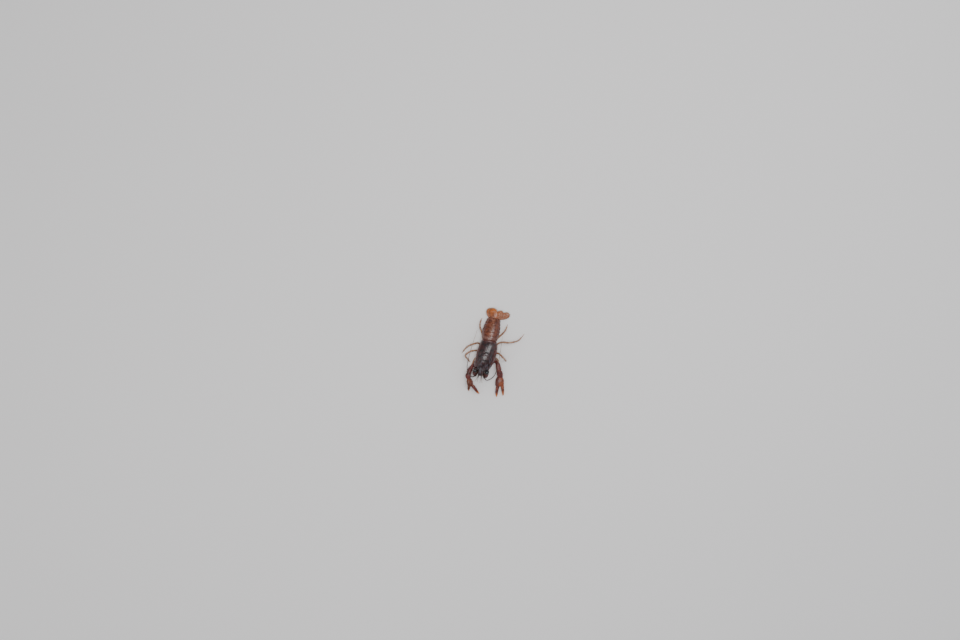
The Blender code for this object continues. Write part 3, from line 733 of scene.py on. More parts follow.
@dataclass(frozen=True)
class EyeFinish:
    """A black cornea with fine facets and a painted blue-green sheen."""

    name: str = "cornea"
    black: Colour = (0.004, 0.005, 0.006)
    # painted sheen: a blue-green glint laid into the black
    sheen: Colour = (0.005, 0.012, 0.013)
    cloud: Pair = (0.4, 0.65)
    facet: float = 0.035
    facet_depth: float = 0.003

    def make(self) -> Material:
        """Builds the material."""
        bench = Bench.named(self.name)
        point = bench.spot().point
        tone = bench.rise(bench.noise(point, 0.5), *self.cloud)
        return bench.done({
            "Base Color": bench.blend(tone, self.black, self.sheen),
            "Normal": bench.bump(1.0 - bench.cells(point, self.facet), self.facet_depth),
            "Roughness": 0.22,
            "Coat Weight": 0.4,
            "Coat Roughness": 0.06,
        })


@dataclass(frozen=True)
class HairFinish:
    """Stiff bristles, pale brown and a little see-through to the light."""

    name: str = "bristle"
    root: Colour = (0.26, 0.12, 0.045)
    end: Colour = (0.56, 0.36, 0.18)

    def make(self) -> Material:
        """Builds the material."""
        bench = Bench.named(self.name)
        tone = bench.blend(bench.spot().along, self.root, self.end)
        return bench.done({"Base Color": tone, "Roughness": 0.45})


def install(
    form: Form,
    name: str,
    material: Material,
    nodes: Sequence[str] = (),
    marks: Marks | None = None,
) -> bpy.types.Object:
    """Makes a piece of the model and puts it in the place of its solids.

    Args:
        form: Its mesh, in millimetres.
        name: The piece's name.
        material: Its material.
        nodes: The solids that it stands for.
        marks: Numbers kept on the mesh's points, for the material.

    Returns:
        The piece.
    """
    piece = form.as_object(name)
    piece.data.materials.append(material)
    for mark in ("along", "rim"):
        values = (marks or {}).get(mark, np.zeros(len(form.points)))
        piece.data.attributes.new(mark, "FLOAT", "POINT").data.foreach_set("value", values)
    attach(piece, ROOT)
    if nodes:
        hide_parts(*nodes)
    log.info("%s: %d faces", name, len(form.quads) + len(form.triangles))
    return piece


@dataclass
class Way:
    """A smooth way through points, read by shares of its length."""

    points: Array
    shares: Array

    @classmethod
    def through(cls, keys: Rows) -> "Way":
        """A way through the keys' first three columns."""
        points = spline([row[:3] for row in keys], WAY_STEPS)
        lengths = run(points)
        return cls(points, lengths / lengths[-1])

    @property
    def length(self) -> float:
        """The way's whole length."""
        return np.linalg.norm(np.diff(self.points, axis=0), axis=1).sum()

    def at(self, shares: Array | float) -> Array:
        """The points at shares of the length."""
        return read(shares, self.shares, self.points)

    def ahead(self, share: float) -> Array:
        """The direction of the way at a share of its length."""
        return unit(self.at(min(share + 0.01, 1.0)) - self.at(max(share - 0.01, 0.0)))


@dataclass
class Bristles:
    """Hairs gathered for one coat piece, each a thin tapering three-sided blade."""

    finish: HairFinish
    seed: int
    roots: list[Array] = field(default_factory=list)
    ways: list[Array] = field(default_factory=list)
    lengths: list[float] = field(default_factory=list)
    places: list[Pair] = field(default_factory=list)
    thickness: float = 0.010
    taper: float = 0.85
    sag: float = 0.22
    stray: float = 0.10
    spread: Pair = (0.75, 1.15)
    patch: float = 0.003
    rings: int = 4
    sides: int = 3

    def __post_init__(self) -> None:
        """Starts the seeded draws."""
        self.draw = np.random.default_rng(self.seed)

    def add(self, root: Array, way: Array, length: float, place: Pair) -> None:
        """Plants one hair.

        Args:
            root: Its root on the skin.
            way: The way that it points.
            length: Its length before it is varied.
            place: The root's place on the skin's unwrap.
        """
        self.roots.append(np.asarray(root))
        self.ways.append(unit(unit(way) + self.draw.normal(0.0, self.stray, 3)))
        self.lengths.append(length * self.draw.uniform(*self.spread))
        self.places.append(place)

    def build(self, name: str, slot: Slot) -> bpy.types.Object:
        """Makes the coat piece.

        Args:
            name: The piece's name.
            slot: The record's slot for it; not used.

        Returns:
            The piece, with its UV map for the bake.
        """
        forms, along, places = [], [], []
        shares = np.linspace(0.0, 1.0, self.rings)
        for root, way, length, place in zip(self.roots, self.ways, self.lengths, self.places):
            bend = np.array((0.0, 0.0, -self.sag * length))
            spine = root + way * length * shares[:, None] + bend * (shares**2)[:, None]
            spine[:, 2] = np.maximum(spine[:, 2], self.thickness)
            half = self.thickness * (1.0 - self.taper * shares)
            form = Form.tube(sweep(np.column_stack([spine, half, half]), 1, self.sides))
            forms.append(form)
            along.append(ringed(shares, self.sides))
            places.append(np.tile(place, (len(form.points), 1)))
        whole = Form.joined(forms)
        piece = install(whole, name, self.finish.make(), marks={"along": np.concatenate(along)})
        centre = np.vstack(places)
        spread = whole.points[:, :2] % 1.0
        where = centre + (spread - 0.5) * self.patch
        layer = piece.data.uv_layers.new(name="OFBake")
        corners = np.empty(len(piece.data.loops), np.int32)
        piece.data.loops.foreach_get("vertex_index", corners)
        layer.data.foreach_set("uv", where[corners].ravel())
        return piece


def spike(base: Numbers, way: Numbers, length: float, half: float, sides: int = 12) -> Form:
    """A pointed spine with a broad sunk root.

    Args:
        base: The middle of its root.
        way: The way that it points.
        length: How far it stands out.
        half: Half its width at the root.
        sides: Points of a ring.

    Returns:
        The closed form.
    """
    shares = np.linspace(-0.5, 1.0, 9)
    places = np.asarray(base, float) + unit(way) * (length * shares)[:, None]
    halves = half * np.clip(1.0 - np.clip(shares, 0.0, 1.0), 0.06, 1.0) ** 0.8
    return Form.tube(sweep(np.column_stack([places, halves, halves]), 1, sides))


def mirrored(keys: Rows, side: Side, middle: float = 0.0) -> list[tuple[float, ...]]:
    """Key rows with x turned to a side of the middle."""
    return [(middle + side.value * row[0], *row[1:]) for row in keys]


@dataclass(frozen=True)
class Crease:
    """A line raised on a skin, or sunk into it where its height is below zero."""

    height: float
    width: float

    def at(self, away: Array) -> Array:
        """Its height at distances from the line."""
        return self.height * bell(away, self.width)


def jointed(share: Array, joints: Sequence[Crease], sides: int) -> tuple[Array, Array]:
    """Marks of a limb's length.

    Args:
        share: Where along it each ring lies.
        joints: The mark of the joint at its root, and of the one at its tip.
        sides: Points of a ring.

    Returns:
        The shares with those of both caps, and how near a joint each point lies.
    """
    ends = np.concatenate([np.zeros(CAP_RINGS), share, np.ones(CAP_RINGS)])
    root, tip = joints
    return ends, ringed(np.maximum(root.at(ends), tip.at(ends - 1.0)), sides)


@dataclass
class Carapace:
    """The shell over head and chest, with rostrum, ridges, grooves and spines."""

    finish: CarapaceFinish
    sections: Rows = (
        (3.10, 0.12, 1.70, 1.75, 3.02, 0.98), (2.55, 0.14, 1.92, 1.75, 3.32, 0.94),
        (1.60, 0.18, 2.18, 1.72, 3.55, 0.90), (0.20, 0.12, 2.32, 1.68, 3.66, 0.90),
        (-1.20, 0.10, 2.28, 1.66, 3.60, 0.90), (-1.80, 0.08, 2.22, 1.66, 3.52, 0.92),
        (-2.40, -0.06, 2.08, 1.66, 3.42, 0.94), (-3.20, -0.22, 1.90, 1.68, 3.16, 1.00),
        (-3.65, -0.26, 1.74, 1.70, 2.86, 1.12),
    )
    rostrum: Rows = (
        (HEAD_X, -3.00, 2.80, 0.88, 0.22), (HEAD_X, -4.00, 2.76, 0.74, 0.20),
        (HEAD_X, -4.75, 2.64, 0.52, 0.17), (HEAD_X, -5.12, 2.53, 0.28, 0.12),
        (HEAD_X, -5.46, 2.42, 0.03, 0.04),
    )
    face: Rows = ((HEAD_X, -3.15, 1.70, 0.56, 0.50), (HEAD_X, -4.32, 1.72, 0.50, 0.40))
    ridge: Rows = (
        (0.98, -2.75, 2.90, 0.09, 0.10), (0.98, -3.22, 2.84, 0.12, 0.15),
        (0.93, -3.70, 2.64, 0.10, 0.13),
    )
    spines: Rows = (
        (0.90, -3.62, 2.68, 0.0, -1.0, 0.15, 0.30), (0.50, -4.74, 2.64, 0.45, -1.0, 0.1, 0.24),
        (1.52, -3.58, 1.95, 0.2, -1.0, 0.0, 0.28), (2.16, -1.05, 1.95, 1.0, -0.9, 0.1, 0.26),
        (2.20, -0.72, 2.20, 1.0, -0.9, 0.1, 0.24), (2.14, -0.35, 2.50, 1.0, -0.9, 0.2, 0.22),
        (2.10, -1.40, 1.72, 1.0, -0.9, 0.0, 0.20),
    )
    spine_half: float = 0.105
    sides: int = 96
    square: Pair = (0.86, 0.84)
    hollow: Rows = ((0.60, 0.50), (0.88, 0.42), (0.93, 0.05), (0.97, 0.0))
    head_y: float = -3.65
    back_z: Pair = (1.35, 1.75)
    neck: Triple = (0.25, 2.6, 1.6)
    neck_groove: Crease = Crease(-0.075, 0.13)
    neck_swell: Crease = Crease(0.035, 0.26)
    swell_ahead: float = 0.42
    areola: tuple[float, ...] = (0.27, 0.17, 1.5, 1.3)
    areola_line: Crease = Crease(-0.012, 0.085)
    areola_y: tuple[float, ...] = (0.40, 0.80, 2.55, 2.80)
    areola_z: Pair = (2.4, 2.8)
    rear: float = 2.84
    rear_groove: Crease = Crease(-0.070, 0.075)
    cheek: Pair = (2.35, 0.5)
    cheek_groove: Crease = Crease(-0.045, 0.10)
    cheek_wide: Pair = (0.62, 0.78)
    hem_z: float = 1.06
    hem: Crease = Crease(0.030, 0.09)
    hem_wide: Pair = (0.75, 0.9)
    rostrum_y: Pair = (-3.75, -3.15)
    rostrum_z: Pair = (2.45, 2.62)
    rostrum_lines: tuple[tuple[float, Crease], ...] = (
        (0.80, Crease(0.075, 0.10)), (0.42, Crease(-0.05, 0.16)), (0.0, Crease(0.035, 0.07)),
    )
    orbit: Triple = (1.02, -3.70, 2.30)
    orbit_size: Triple = (0.50, 0.28, 0.46)
    orbit_edges: Pair = (0.3, 1.2)
    orbit_depth: float = 0.22
    end_y: Pair = (2.90, 3.08)
    end_share: float = 0.5
    voxel: float = 0.040

    def profile(self, y: Array, column: int) -> Array:
        """A column of the sections read at places along the body."""
        rows = np.asarray(self.sections)[::-1]
        return np.interp(y, rows[:, 0], rows[:, column])

    def shell(self) -> Form:
        """The barrel of the carapace, hollow behind where the tail goes in."""
        y, aside, half, middle, top, low = spline(self.sections, 10).T[:, :, None]
        turn = 2 * np.pi * (np.arange(self.sides) + 0.5) / self.sides
        wide, high = (power(f(turn), e)[None] for f, e in zip((np.cos, np.sin), self.square))
        rise = np.where(high > 0, top - middle, middle - low)
        rings = np.stack([aside + wide * half, y + 0.0 * wide, middle + high * rise], axis=-1)
        centre = rings[0].mean(axis=0)
        hollow = [centre + (rings[0] - centre) * share - (0.0, depth, 0.0) for share, depth in self.hollow]
        cap = domed(rings[-2:], 0.10)[-3:]
        return Form.tube(np.stack([*hollow, *rings, *cap]))

    def relief(self, points: Array) -> Array:
        """The height of grooves, rims and swellings at each point.

        Args:
            points: Points of the skin.

        Returns:
            Heights in millimetres.
        """
        x, y, z = points.T
        x = x - np.where(y < self.head_y, HEAD_X, self.profile(y, 1))
        away = np.abs(x)
        wide = np.clip(away / self.profile(y, 2), 0.0, 1.0)
        back = ease(z, *self.back_z)
        place, swing, curve = self.neck
        line = y - (place - swing * wide**curve)
        height = self.neck_groove.at(line) * back
        height += self.neck_swell.at(line + self.swell_ahead) * back
        least, more, middle, reach = self.areola
        areola = away - (least + more * np.square((y - middle) / reach))
        start, full, fading, end = self.areola_y
        along = ease(y, start, full) * (1.0 - ease(y, fading, end)) * ease(z, *self.areola_z)
        height += self.areola_line.at(areola) * along
        height += self.rear_groove.at(y - self.rear)
        place, swing = self.cheek
        height += self.cheek_groove.at(y + place - swing * wide) * ease(wide, *self.cheek_wide) * back
        height += self.hem.at(z - self.hem_z) * ease(wide, *self.hem_wide)
        ahead = (1.0 - ease(y, *self.rostrum_y)) * ease(z, *self.rostrum_z)
        keys = np.asarray(self.rostrum)[::-1]
        edge = np.interp(y, keys[:, 1], keys[:, 3])
        height += ahead * sum(crease.at(away - share * edge) for share, crease in self.rostrum_lines)
        socket = (np.column_stack([away, y, z]) - np.asarray(self.orbit)) / self.orbit_size
        return height - self.orbit_depth * (1.0 - ease(np.linalg.norm(socket, axis=1), *self.orbit_edges))

    def build(self) -> None:
        """Makes the carapace."""
        forms = [self.shell(), Form.tube(sweep(self.rostrum, 8, 32, square=0.72))]
        forms.append(Form.tube(sweep(self.face, 4, 32, square=0.6)))
        for side in Side:
            forms.append(Form.tube(sweep(mirrored(self.ridge, side, HEAD_X), 6, 20)))
            for x, y, z, outward, along, upward, length in self.spines:
                middle = float(self.profile(np.array(y), 1))
                base, way = (middle + side.value * x, y, z), (side.value * outward, along, upward)
                forms.append(spike(base, way, length, self.spine_half))
        skin = Form.joined(forms).fused(self.voxel, 3).pushed(self.relief)
        rim = self.end_share * ease(skin.points[:, 1], *self.end_y)
        install(skin, "carapace_shell", self.finish.make(), ["carapace"], {"rim": rim})


@dataclass
class Eyes:
    """Two stalked eyes."""

    cornea: EyeFinish
    stalk: ShellFinish
    centres: dict[Side, Triple] = field(
        default_factory=lambda: {Side.RIGHT: (-1.60, -4.40, 2.36), Side.LEFT: (1.18, -4.25, 2.36)}
    )
    radius: float = 0.47
    flatness: float = 0.94
    sides: int = 72
    foot: Triple = (0.98, -3.62, 2.30)
    stalk_halves: tuple[float, ...] = (0.22, 0.22, 0.27, 0.37, 0.42)
    stalk_short: float = 0.10
    cup_depth: float = 0.06

    def build(self) -> None:
        """Makes both eyes, each a stalk with a flared cup and a round cornea."""
        black, horn = self.cornea.make(), self.stalk.make()
        for side in Side:
            centre = np.asarray(self.centres[side])
            foot = np.asarray((HEAD_X + side.value * self.foot[0], *self.foot[1:]))
            out = unit(centre - foot)
            shares = np.linspace(0.0, 1.0, len(self.stalk_halves))[:, None]
            places = foot + (centre - out * self.stalk_short - foot) * shares
            keys = np.column_stack([places, self.stalk_halves, self.stalk_halves])
            cup = Form.tube(domed(sweep(keys, 6, 40), self.cup_depth))
            name = f"eye_{side.word}"
            install(cup, f"{name}_stalk", horn, [name])
            radii = (self.radius, self.radius, self.radius * self.flatness)
            ball = Form.ball((0.0, 0.0, 0.0), radii, self.sides)
            turn = Vector(UP).rotation_difference(Vector(out)).to_matrix()
            ball.points = ball.points @ np.array(turn).T + centre
            install(ball, f"{name}_cornea", black, [name])


@dataclass(frozen=True)
class Length:
    """One length of a limb between two joints, by shares of the limb's way."""

    start: float
    end: float
    root: float
    tip: float
    flat: float = 1.0


@dataclass
class Limb:
    """A jointed limb along a way."""

    way: Way
    lengths: Sequence[Length]
    sides: int = 16
    first: Numbers | None = None
    rings: int = 15
    neck: Pair = (0.74, 0.16)
    flare: Crease = Crease(0.10, 0.08)
    flare_at: float = 0.94
    overlap: float = 0.45
    cap: float = 0.45
    joint_marks: tuple[Crease, Crease] = (Crease(1.0, 0.10), Crease(0.75, 0.05))

    def halves(self, length: Length, share: Array) -> Array:
        """Half widths along one length: a narrow root, a body and a flared far end."""
        body = length.root + (length.tip - length.root) * share
        least, until = self.neck
        neck = least + (1.0 - least) * ease(share, 0.0, until)
        return body * neck * (1.0 + self.flare.at(share - self.flare_at))

    def build(self) -> tuple[Form, Marks]:
        """Makes the limb.

        Returns:
            Its form, and how far along it each point lies and how near a joint.
        """
        forms, along, rim = [], [], []
        share = np.linspace(0.0, 1.0, self.rings)
        ends, near = jointed(share, self.joint_marks, self.sides)
        for length in self.lengths:
            start = max(length.start - self.overlap * length.root / self.way.length, 0.0)
            half = self.halves(length, share)
            places = self.way.at(start + (length.end - start) * share)
            keys = np.column_stack([places, half, half * length.flat])
            first = self.first if length is self.lengths[0] else None
            forms.append(Form.tube(domed(sweep(keys, 1, self.sides, first), half[-1] * self.cap)))
            along.append(ringed(np.interp(ends, (0.0, 1.0), (start, length.end)), self.sides))
            rim.append(near)
        return Form.joined(forms), {"along": np.concatenate(along), "rim": np.concatenate(rim)}

    def skin(self, share: float, turn: float, half: float) -> tuple[Array, Array]:
        """A point on the limb's skin and the way out of it, at a turn about the way."""
        ahead = self.way.ahead(share)
        across = unit(np.cross(ahead, UP))
        out = across * math.cos(turn) + np.cross(across, ahead) * math.sin(turn)
        return self.way.at(share) + out * half, out


@dataclass
class Feelers:
    """Antennules, antennae and their scales."""

    finish: ShellFinish
    scale_finish: ShellFinish
    fringe: Bristles
    stem: Rows = ((0.33, -4.30, 1.84), (0.33, -4.90, 1.84), (0.34, -5.25, 1.84))
    inner: Rows = ((0.32, -5.18, 1.83), (0.32, -5.80, 1.70), (0.34, -6.90, 1.46))
    outer: Rows = ((0.37, -5.18, 1.85), (0.50, -5.90, 1.88), (0.88, -6.90, 1.94))
    antenna: Rows = (
        (0.86, -3.60, 1.42), (0.86, -4.40, 1.38), (0.90, -4.95, 1.42), (1.02, -5.50, 1.90),
        (1.78, -5.96, 2.46), (2.80, -5.20, 2.66), (3.34, -4.00, 2.80), (3.46, -2.00, 2.76),
        (3.40, 0.00, 2.66), (3.24, 2.20, 2.46), (3.00, 4.70, 2.08),
    )
    stem_lengths: tuple[Length, ...] = (
        Length(0.0, 0.45, 0.24, 0.23), Length(0.45, 0.74, 0.22, 0.21), Length(0.74, 1.0, 0.19, 0.18),
    )
    base_lengths: tuple[Length, ...] = (
        Length(0.0, 0.045, 0.30, 0.30), Length(0.045, 0.092, 0.29, 0.27), Length(0.092, 0.155, 0.24, 0.19),
    )
    whip_sides: int = 10
    whip_swell: float = 0.10
    whip_curve: float = 0.7
    thread: Triple = (0.075, 0.022, 0.09)
    lash: Triple = (0.125, 0.022, 0.10)
    blade: Rows = (
        (1.42, -3.66, 1.66, 0.26), (1.42, -4.05, 1.70, 0.42), (1.38, -4.55, 1.72, 0.50),
        (1.32, -5.08, 1.74, 0.50), (1.26, -5.46, 1.74, 0.34), (1.22, -5.66, 1.74, 0.08),
    )
    blade_columns: int = 15
    blade_thickness: float = 0.09
    blade_arch: float = 0.05
    blade_edge: Crease = Crease(0.05, 0.25)
    blade_hair: float = 0.22
    blade_spine: tuple[Triple, Triple, float, float] = ((1.62, -5.26, 1.68), (-0.25, -1.0, 0.0), 0.34, 0.07)

    def whip(self, way: Way, start: float, root: float, tip: float, ring: float) -> tuple[Form, Array]:
        """A tapering thread of many short rings.

        Args:
            way: The thread's way.
            start: Share of the way where it begins.
            root: Half thickness at its root.
            tip: Half thickness at its end.
            ring: Length of one ring, in millimetres.

        Returns:
            Its form, and how far along it each point lies.
        """
        count = int(way.length * (1.0 - start) / ring)
        share = np.linspace(0.0, 1.0, 4 * count + 1)
        swell = 1.0 + self.whip_swell * np.sin(np.pi * (share * count % 1.0))
        half = (root + (tip - root) * share**self.whip_curve) * swell
        keys = np.column_stack([way.at(start + (1.0 - start) * share), half, half])
        return Form.tube(sweep(keys, 1, self.whip_sides)), ringed(share, self.whip_sides)

    def scale(self, side: Side) -> Form:
        """The leaf-shaped scale, stiff on its outer edge and drawn out to a spine."""
        rows = spline(mirrored(self.blade, side, HEAD_X), 6)
        across = np.linspace(-1.0, 1.0, self.blade_columns)
        x, y, z, half = (column[:, None] for column in rows.T)
        arch = self.blade_arch * np.cos(across * 2.6) + self.blade_edge.at(across * side.value - 0.8)
        grid = np.stack([x + half * across, y + 0.0 * across, z + arch], axis=-1)
        root, way, length, thick = self.blade_spine
        root = (HEAD_X + side.value * root[0], *root[1:])
        tip = spike(root, (way[0] * side.value, *way[1:]), length, thick)
        inner = 0 if side is Side.LEFT else -1
        for n in range(8, len(rows) - 2):
            place = (0.05 + 0.01 * n, 0.1 + 0.4 * (inner + 1))
            self.fringe.add(grid[n, inner], (-side.value, -1.1, 0.0), self.blade_hair, place)
        return Form.joined([Form.plate(grid, self.blade_thickness), tip])

    def antennule(self, side: Side) -> tuple[Form, Marks]:
        """A short feeler: its stem with two threads, and the marks of its points."""
        way = Way.through(mirrored(self.stem, side, HEAD_X))
        form, marks = Limb(way, self.stem_lengths, first=HEADWARD).build()
        forms, along = [form], [marks["along"] * 0.2]
        for keys in (self.inner, self.outer):
            thread, shares = self.whip(Way.through(mirrored(keys, side, HEAD_X)), 0.0, *self.thread)
            forms.append(thread)
            along.append(0.2 + shares * 0.8)
        return Form.joined(forms), {"along": np.concatenate(along)}

    def long_feeler(self, side: Side) -> tuple[Form, Marks]:
        """A long feeler: its jointed base with the lash, and the marks of its points."""
        way = Way.through(mirrored(self.antenna, side, HEAD_X))
        form, marks = Limb(way, self.base_lengths, first=HEADWARD).build()
        lash, shares = self.whip(way, self.base_lengths[-1].end - 0.01, *self.lash)
        along = np.concatenate([marks["along"], 0.15 + shares * 0.85])
        rim = np.concatenate([marks["rim"], np.zeros(len(shares))])
        return Form.joined([form, lash]), {"along": along, "rim": rim}

    def build(self) -> None:
        """Makes the feelers of both sides."""
        material, dark = self.finish.make(), self.scale_finish.make()
        for side in Side:
            for stem, (form, marks) in (
                ("antennule", self.antennule(side)), ("antenna", self.long_feeler(side)),
            ):
                name = f"{stem}_{side.word}"
                install(form, f"{name}_feeler", material, [name], marks)
            name = f"antennal_scale_{side.word}"
            install(self.scale(side), f"{name}_blade", dark, [name])


@dataclass
class Mouthparts:
    """The third maxillipeds, which close over the mouth, and the belly plate behind them."""

    finish: ShellFinish
    belly: ShellFinish
    bristles: Bristles
    keys: Rows = (
        (0.44, -2.66, 0.42), (0.46, -3.40, 0.50), (0.44, -4.30, 0.66), (0.38, -5.00, 0.86),
        (0.32, -5.42, 0.98),
    )
    lengths: tuple[Length, ...] = (
        Length(0.0, 0.16, 0.27, 0.27, 1.0),
        Length(0.16, 0.50, 0.27, 0.29, 0.9),
        Length(0.50, 0.70, 0.23, 0.22, 0.9),
        Length(0.70, 0.87, 0.19, 0.17, 0.9),
        Length(0.87, 1.0, 0.12, 0.03, 0.9),
    )
    plate: Rows = (
        (0.0, 2.90, 0.40, 0.76, 0.40), (0.0, 2.40, 0.40, 0.86, 0.40), (0.0, 0.00, 0.40, 0.86, 0.40),
        (0.0, -2.10, 0.40, 0.86, 0.40), (0.0, -2.60, 0.40, 0.80, 0.40),
    )
    leg_roots: tuple[float, ...] = (-1.60, -0.70, 0.20, 1.10, 2.00)
    leg_step: float = 0.45
    between: Crease = Crease(-0.09, 0.09)
    socket: Crease = Crease(-0.10, 0.22)
    socket_x: Pair = (0.86, 0.14)
    midline: Crease = Crease(-0.07, 0.09)
    relief_z: Pair = (0.03, 0.12)
    voxel: float = 0.045
    hairs: int = 60
    hair_length: float = 0.26

    def relief(self, points: Array) -> Array:
        """Grooves across the belly plate between the legs, and one along its middle."""
        x, y, z = points.T
        place, width = self.socket_x
        height = np.zeros(len(points))
        for root in self.leg_roots:
            height += self.between.at(y - root - self.leg_step)
            height += self.socket.at(y - root) * bell(np.abs(x) - place, width)
        return (height + self.midline.at(x)) * ease(z, *self.relief_z)

    def build(self) -> None:
        """Makes both maxillipeds and the belly plate."""
        material = self.finish.make()
        for side in Side:
            limb = Limb(Way.through(mirrored(self.keys, side)), self.lengths, 18, HEADWARD)
            form, marks = limb.build()
            name = f"maxilliped_{side.word}"
            install(form, f"{name}_limb", material, [name], marks)
            inward = math.pi if side is Side.LEFT else 0.0
            for n in range(self.hairs):
                share = 0.20 + 0.78 * n / self.hairs
                half = 0.26 * (1.0 - 0.7 * ease(share, 0.6, 1.0))
                turn = -inward + self.bristles.draw.uniform(-0.7, 0.2)
                root, out = limb.skin(share, turn, half)
                place = (0.15 + 0.5 * share, 0.3 + 0.05 * side.value)
                self.bristles.add(root, out + limb.way.ahead(share) * 0.7, self.hair_length, place)
        slab = Form.tube(sweep(self.plate, 16, 40, HEADWARD, HEADWARD, square=0.42)).fused(self.voxel, 4)
        slab = slab.pushed(self.relief).grounded()
        install(slab, "belly_plate", self.belly.make(), ["sternum"])


@dataclass
class ClawLeg:
    """One claw-bearing leg: arm, wrist, hand with its fixed finger, and moving finger."""

    side: Side
    arm: Rows
    wrist: Rows
    palm: Rows
    fixed: Rows
    finger: Rows
    roll: float
    arm_finish: ShellFinish
    hand_finish: ShellFinish
    finger_finish: ShellFinish
    bristles: Bristles
    seed: int
    lengths: tuple[Pair, ...] = ((0.0, 0.11), (0.11, 0.20), (0.20, 0.40), (0.40, 1.0))
    arm_rings: int = 22
    arm_sides: int = 28
    arm_neck: Pair = (0.86, 0.14)
    arm_flare: Crease = Crease(0.05, 0.06)
    arm_overlap: float = 0.02
    arm_marks: tuple[Crease, Crease] = (Crease(1.0, 0.07), Crease(0.7, 0.04))
    arm_thorns: tuple[Pair, ...] = ((0.84, 0.9), (0.93, 0.6), (0.90, 2.3))
    arm_thorn: Triple = (0.40, 0.17, 0.08)
    thorn_way: Triple = (-1.0, -0.6, 0.35)
    grain: Triple = (0.6, 1.0, 0.93)
    grain_sides: int = 10
    wrist_grains: Triple = (26, 0.045, 1.2)
    palm_grains: Triple = (90, 0.042, 1.15)
    finger_grains: Triple = (16, 0.030, 0.9)
    finger_slim: Rows = ((0.0, 0.25, 0.9, 1.0), (1.0, 1.0, 0.96, 0.45))
    knuckle: Triple = (0.27, 0.27, 0.25)
    teeth: int = 7
    tooth_places: Pair = (0.26, 0.60)
    tooth_half: float = 0.085
    tooth_least: float = 0.55
    tooth_swell: Crease = Crease(0.6, 0.22)
    tooth_middle: float = 0.42
    tooth_seat: float = 0.80
    tufts: int = 26
    tuft_hairs: int = 3
    tuft_run: Pair = (0.15, 0.78)
    tuft_turn: float = 1.6
    hair_lean: float = 1.3
    hair_length: float = 0.15
    voxel: float = 0.036

    def __post_init__(self) -> None:
        """Starts the seeded draws."""
        self.draw = np.random.default_rng(self.seed)

    @property
    def elbow(self) -> Array:
        """The way from the arm's end into the wrist."""
        return np.asarray(self.wrist[0][:3]) - np.asarray(self.arm[-1][:3])

    @property
    def hinge(self) -> Array:
        """The way from the wrist's end into the palm."""
        return np.asarray(self.palm[0][:3]) - np.asarray(self.wrist[-1][:3])

    def sown(self, centre: Rows, halves: Numbers, count: int, size: float, cone: float) -> list[Form]:
        """Blunt granules on the upper side of an oval limb.

        Args:
            centre: Points along the limb.
            halves: Half width at each point.
            count: How many granules.
            size: Half width of the largest.
            cone: How far round from the top they may lie, in radians.

        Returns:
            Their forms.
        """
        rows = np.asarray(centre, float)
        least, most, reach = self.grain
        forms = []
        for _ in range(count):
            place = self.draw.uniform(0.0, len(rows) - 1.001)
            low = int(place)
            step = rows[low + 1] - rows[low]
            half = np.interp(place, np.arange(len(rows)), halves)
            ahead = unit(step)
            across = unit(np.cross(ahead, UP))
            turn = math.pi / 2 + self.draw.uniform(-cone, cone) - self.roll
            out = across * math.cos(turn) + np.cross(across, ahead) * math.sin(turn)
            radii = np.full(3, size * self.draw.uniform(least, most))
            middle = rows[low] + step * (place - low)
            forms.append(Form.ball(middle + out * (half * reach), radii, self.grain_sides))
        return forms

    def toothed(self, keys: Rows, towards: Numbers, forms: list[Form]) -> None:
        """Adds rounded teeth on a finger's biting edge, the largest near its middle."""
        rows = spline(keys, 20)
        ahead = unit(rows[-1, :3] - rows[0, :3])
        first, reach = self.tooth_places
        for n in range(self.teeth):
            share = first + reach * n / (self.teeth - 1)
            row = rows[int(share * (len(rows) - 1))]
            bite = np.asarray(towards) - row[:3]
            bite = unit(bite - ahead * bite.dot(ahead))
            size = self.tooth_half * (self.tooth_least + self.tooth_swell.at(share - self.tooth_middle))
            forms.append(spike(row[:3] + bite * row[3] * self.tooth_seat, bite, size * 1.6, size, 10))

    def finger_rings(self, keys: Rows, first: Numbers | None = None) -> Form:
        """A finger's body, drawn out to a hooked point."""
        rows = spline(keys, 8)
        rows[:, 3:5] *= np.interp(np.linspace(0, 1, len(rows)), *self.finger_slim)[:, None]
        return Form.tube(sweep(rows, 1, 24, first=first, square=0.92))

    def near(self, points: Array, place: Numbers, reach: float) -> Array:
        """1 at a place, falling to 0 at the reach."""
        return 1.0 - ease(np.linalg.norm(points - np.asarray(place, float), axis=1), 0.3 * reach, reach)

    def uneven(self, points: Array) -> Array:
        """The low swellings of a palm, in millimetres."""
        x, y, z = points.T
        return 0.010 * np.sin(8.0 * x + 3.0 * z) * np.sin(6.0 * y)

    def installed(
        self, form: Form, part: str, material: Material,
        rim: Array, keys: Rows | None = None,
    ) -> None:
        """Puts a piece of the leg in its place, marked along its finger where it has one.

        Args:
            form: The piece.
            part: The part of the leg that it is.
            material: Its material.
            rim: How near a joint each point lies.
            keys: Its finger's keys.
        """
        marks = {"rim": rim}
        if keys:
            base, tip = (np.asarray(keys[n][:3]) for n in (0, -1))
            along = (form.points - base) @ unit(tip - base) / np.linalg.norm(tip - base)
            marks["along"] = np.clip(along, 0.0, 1.0)
        name = f"claw_{part}_{self.side.word}"
        install(form, f"{name}_shell", material, [name], marks)

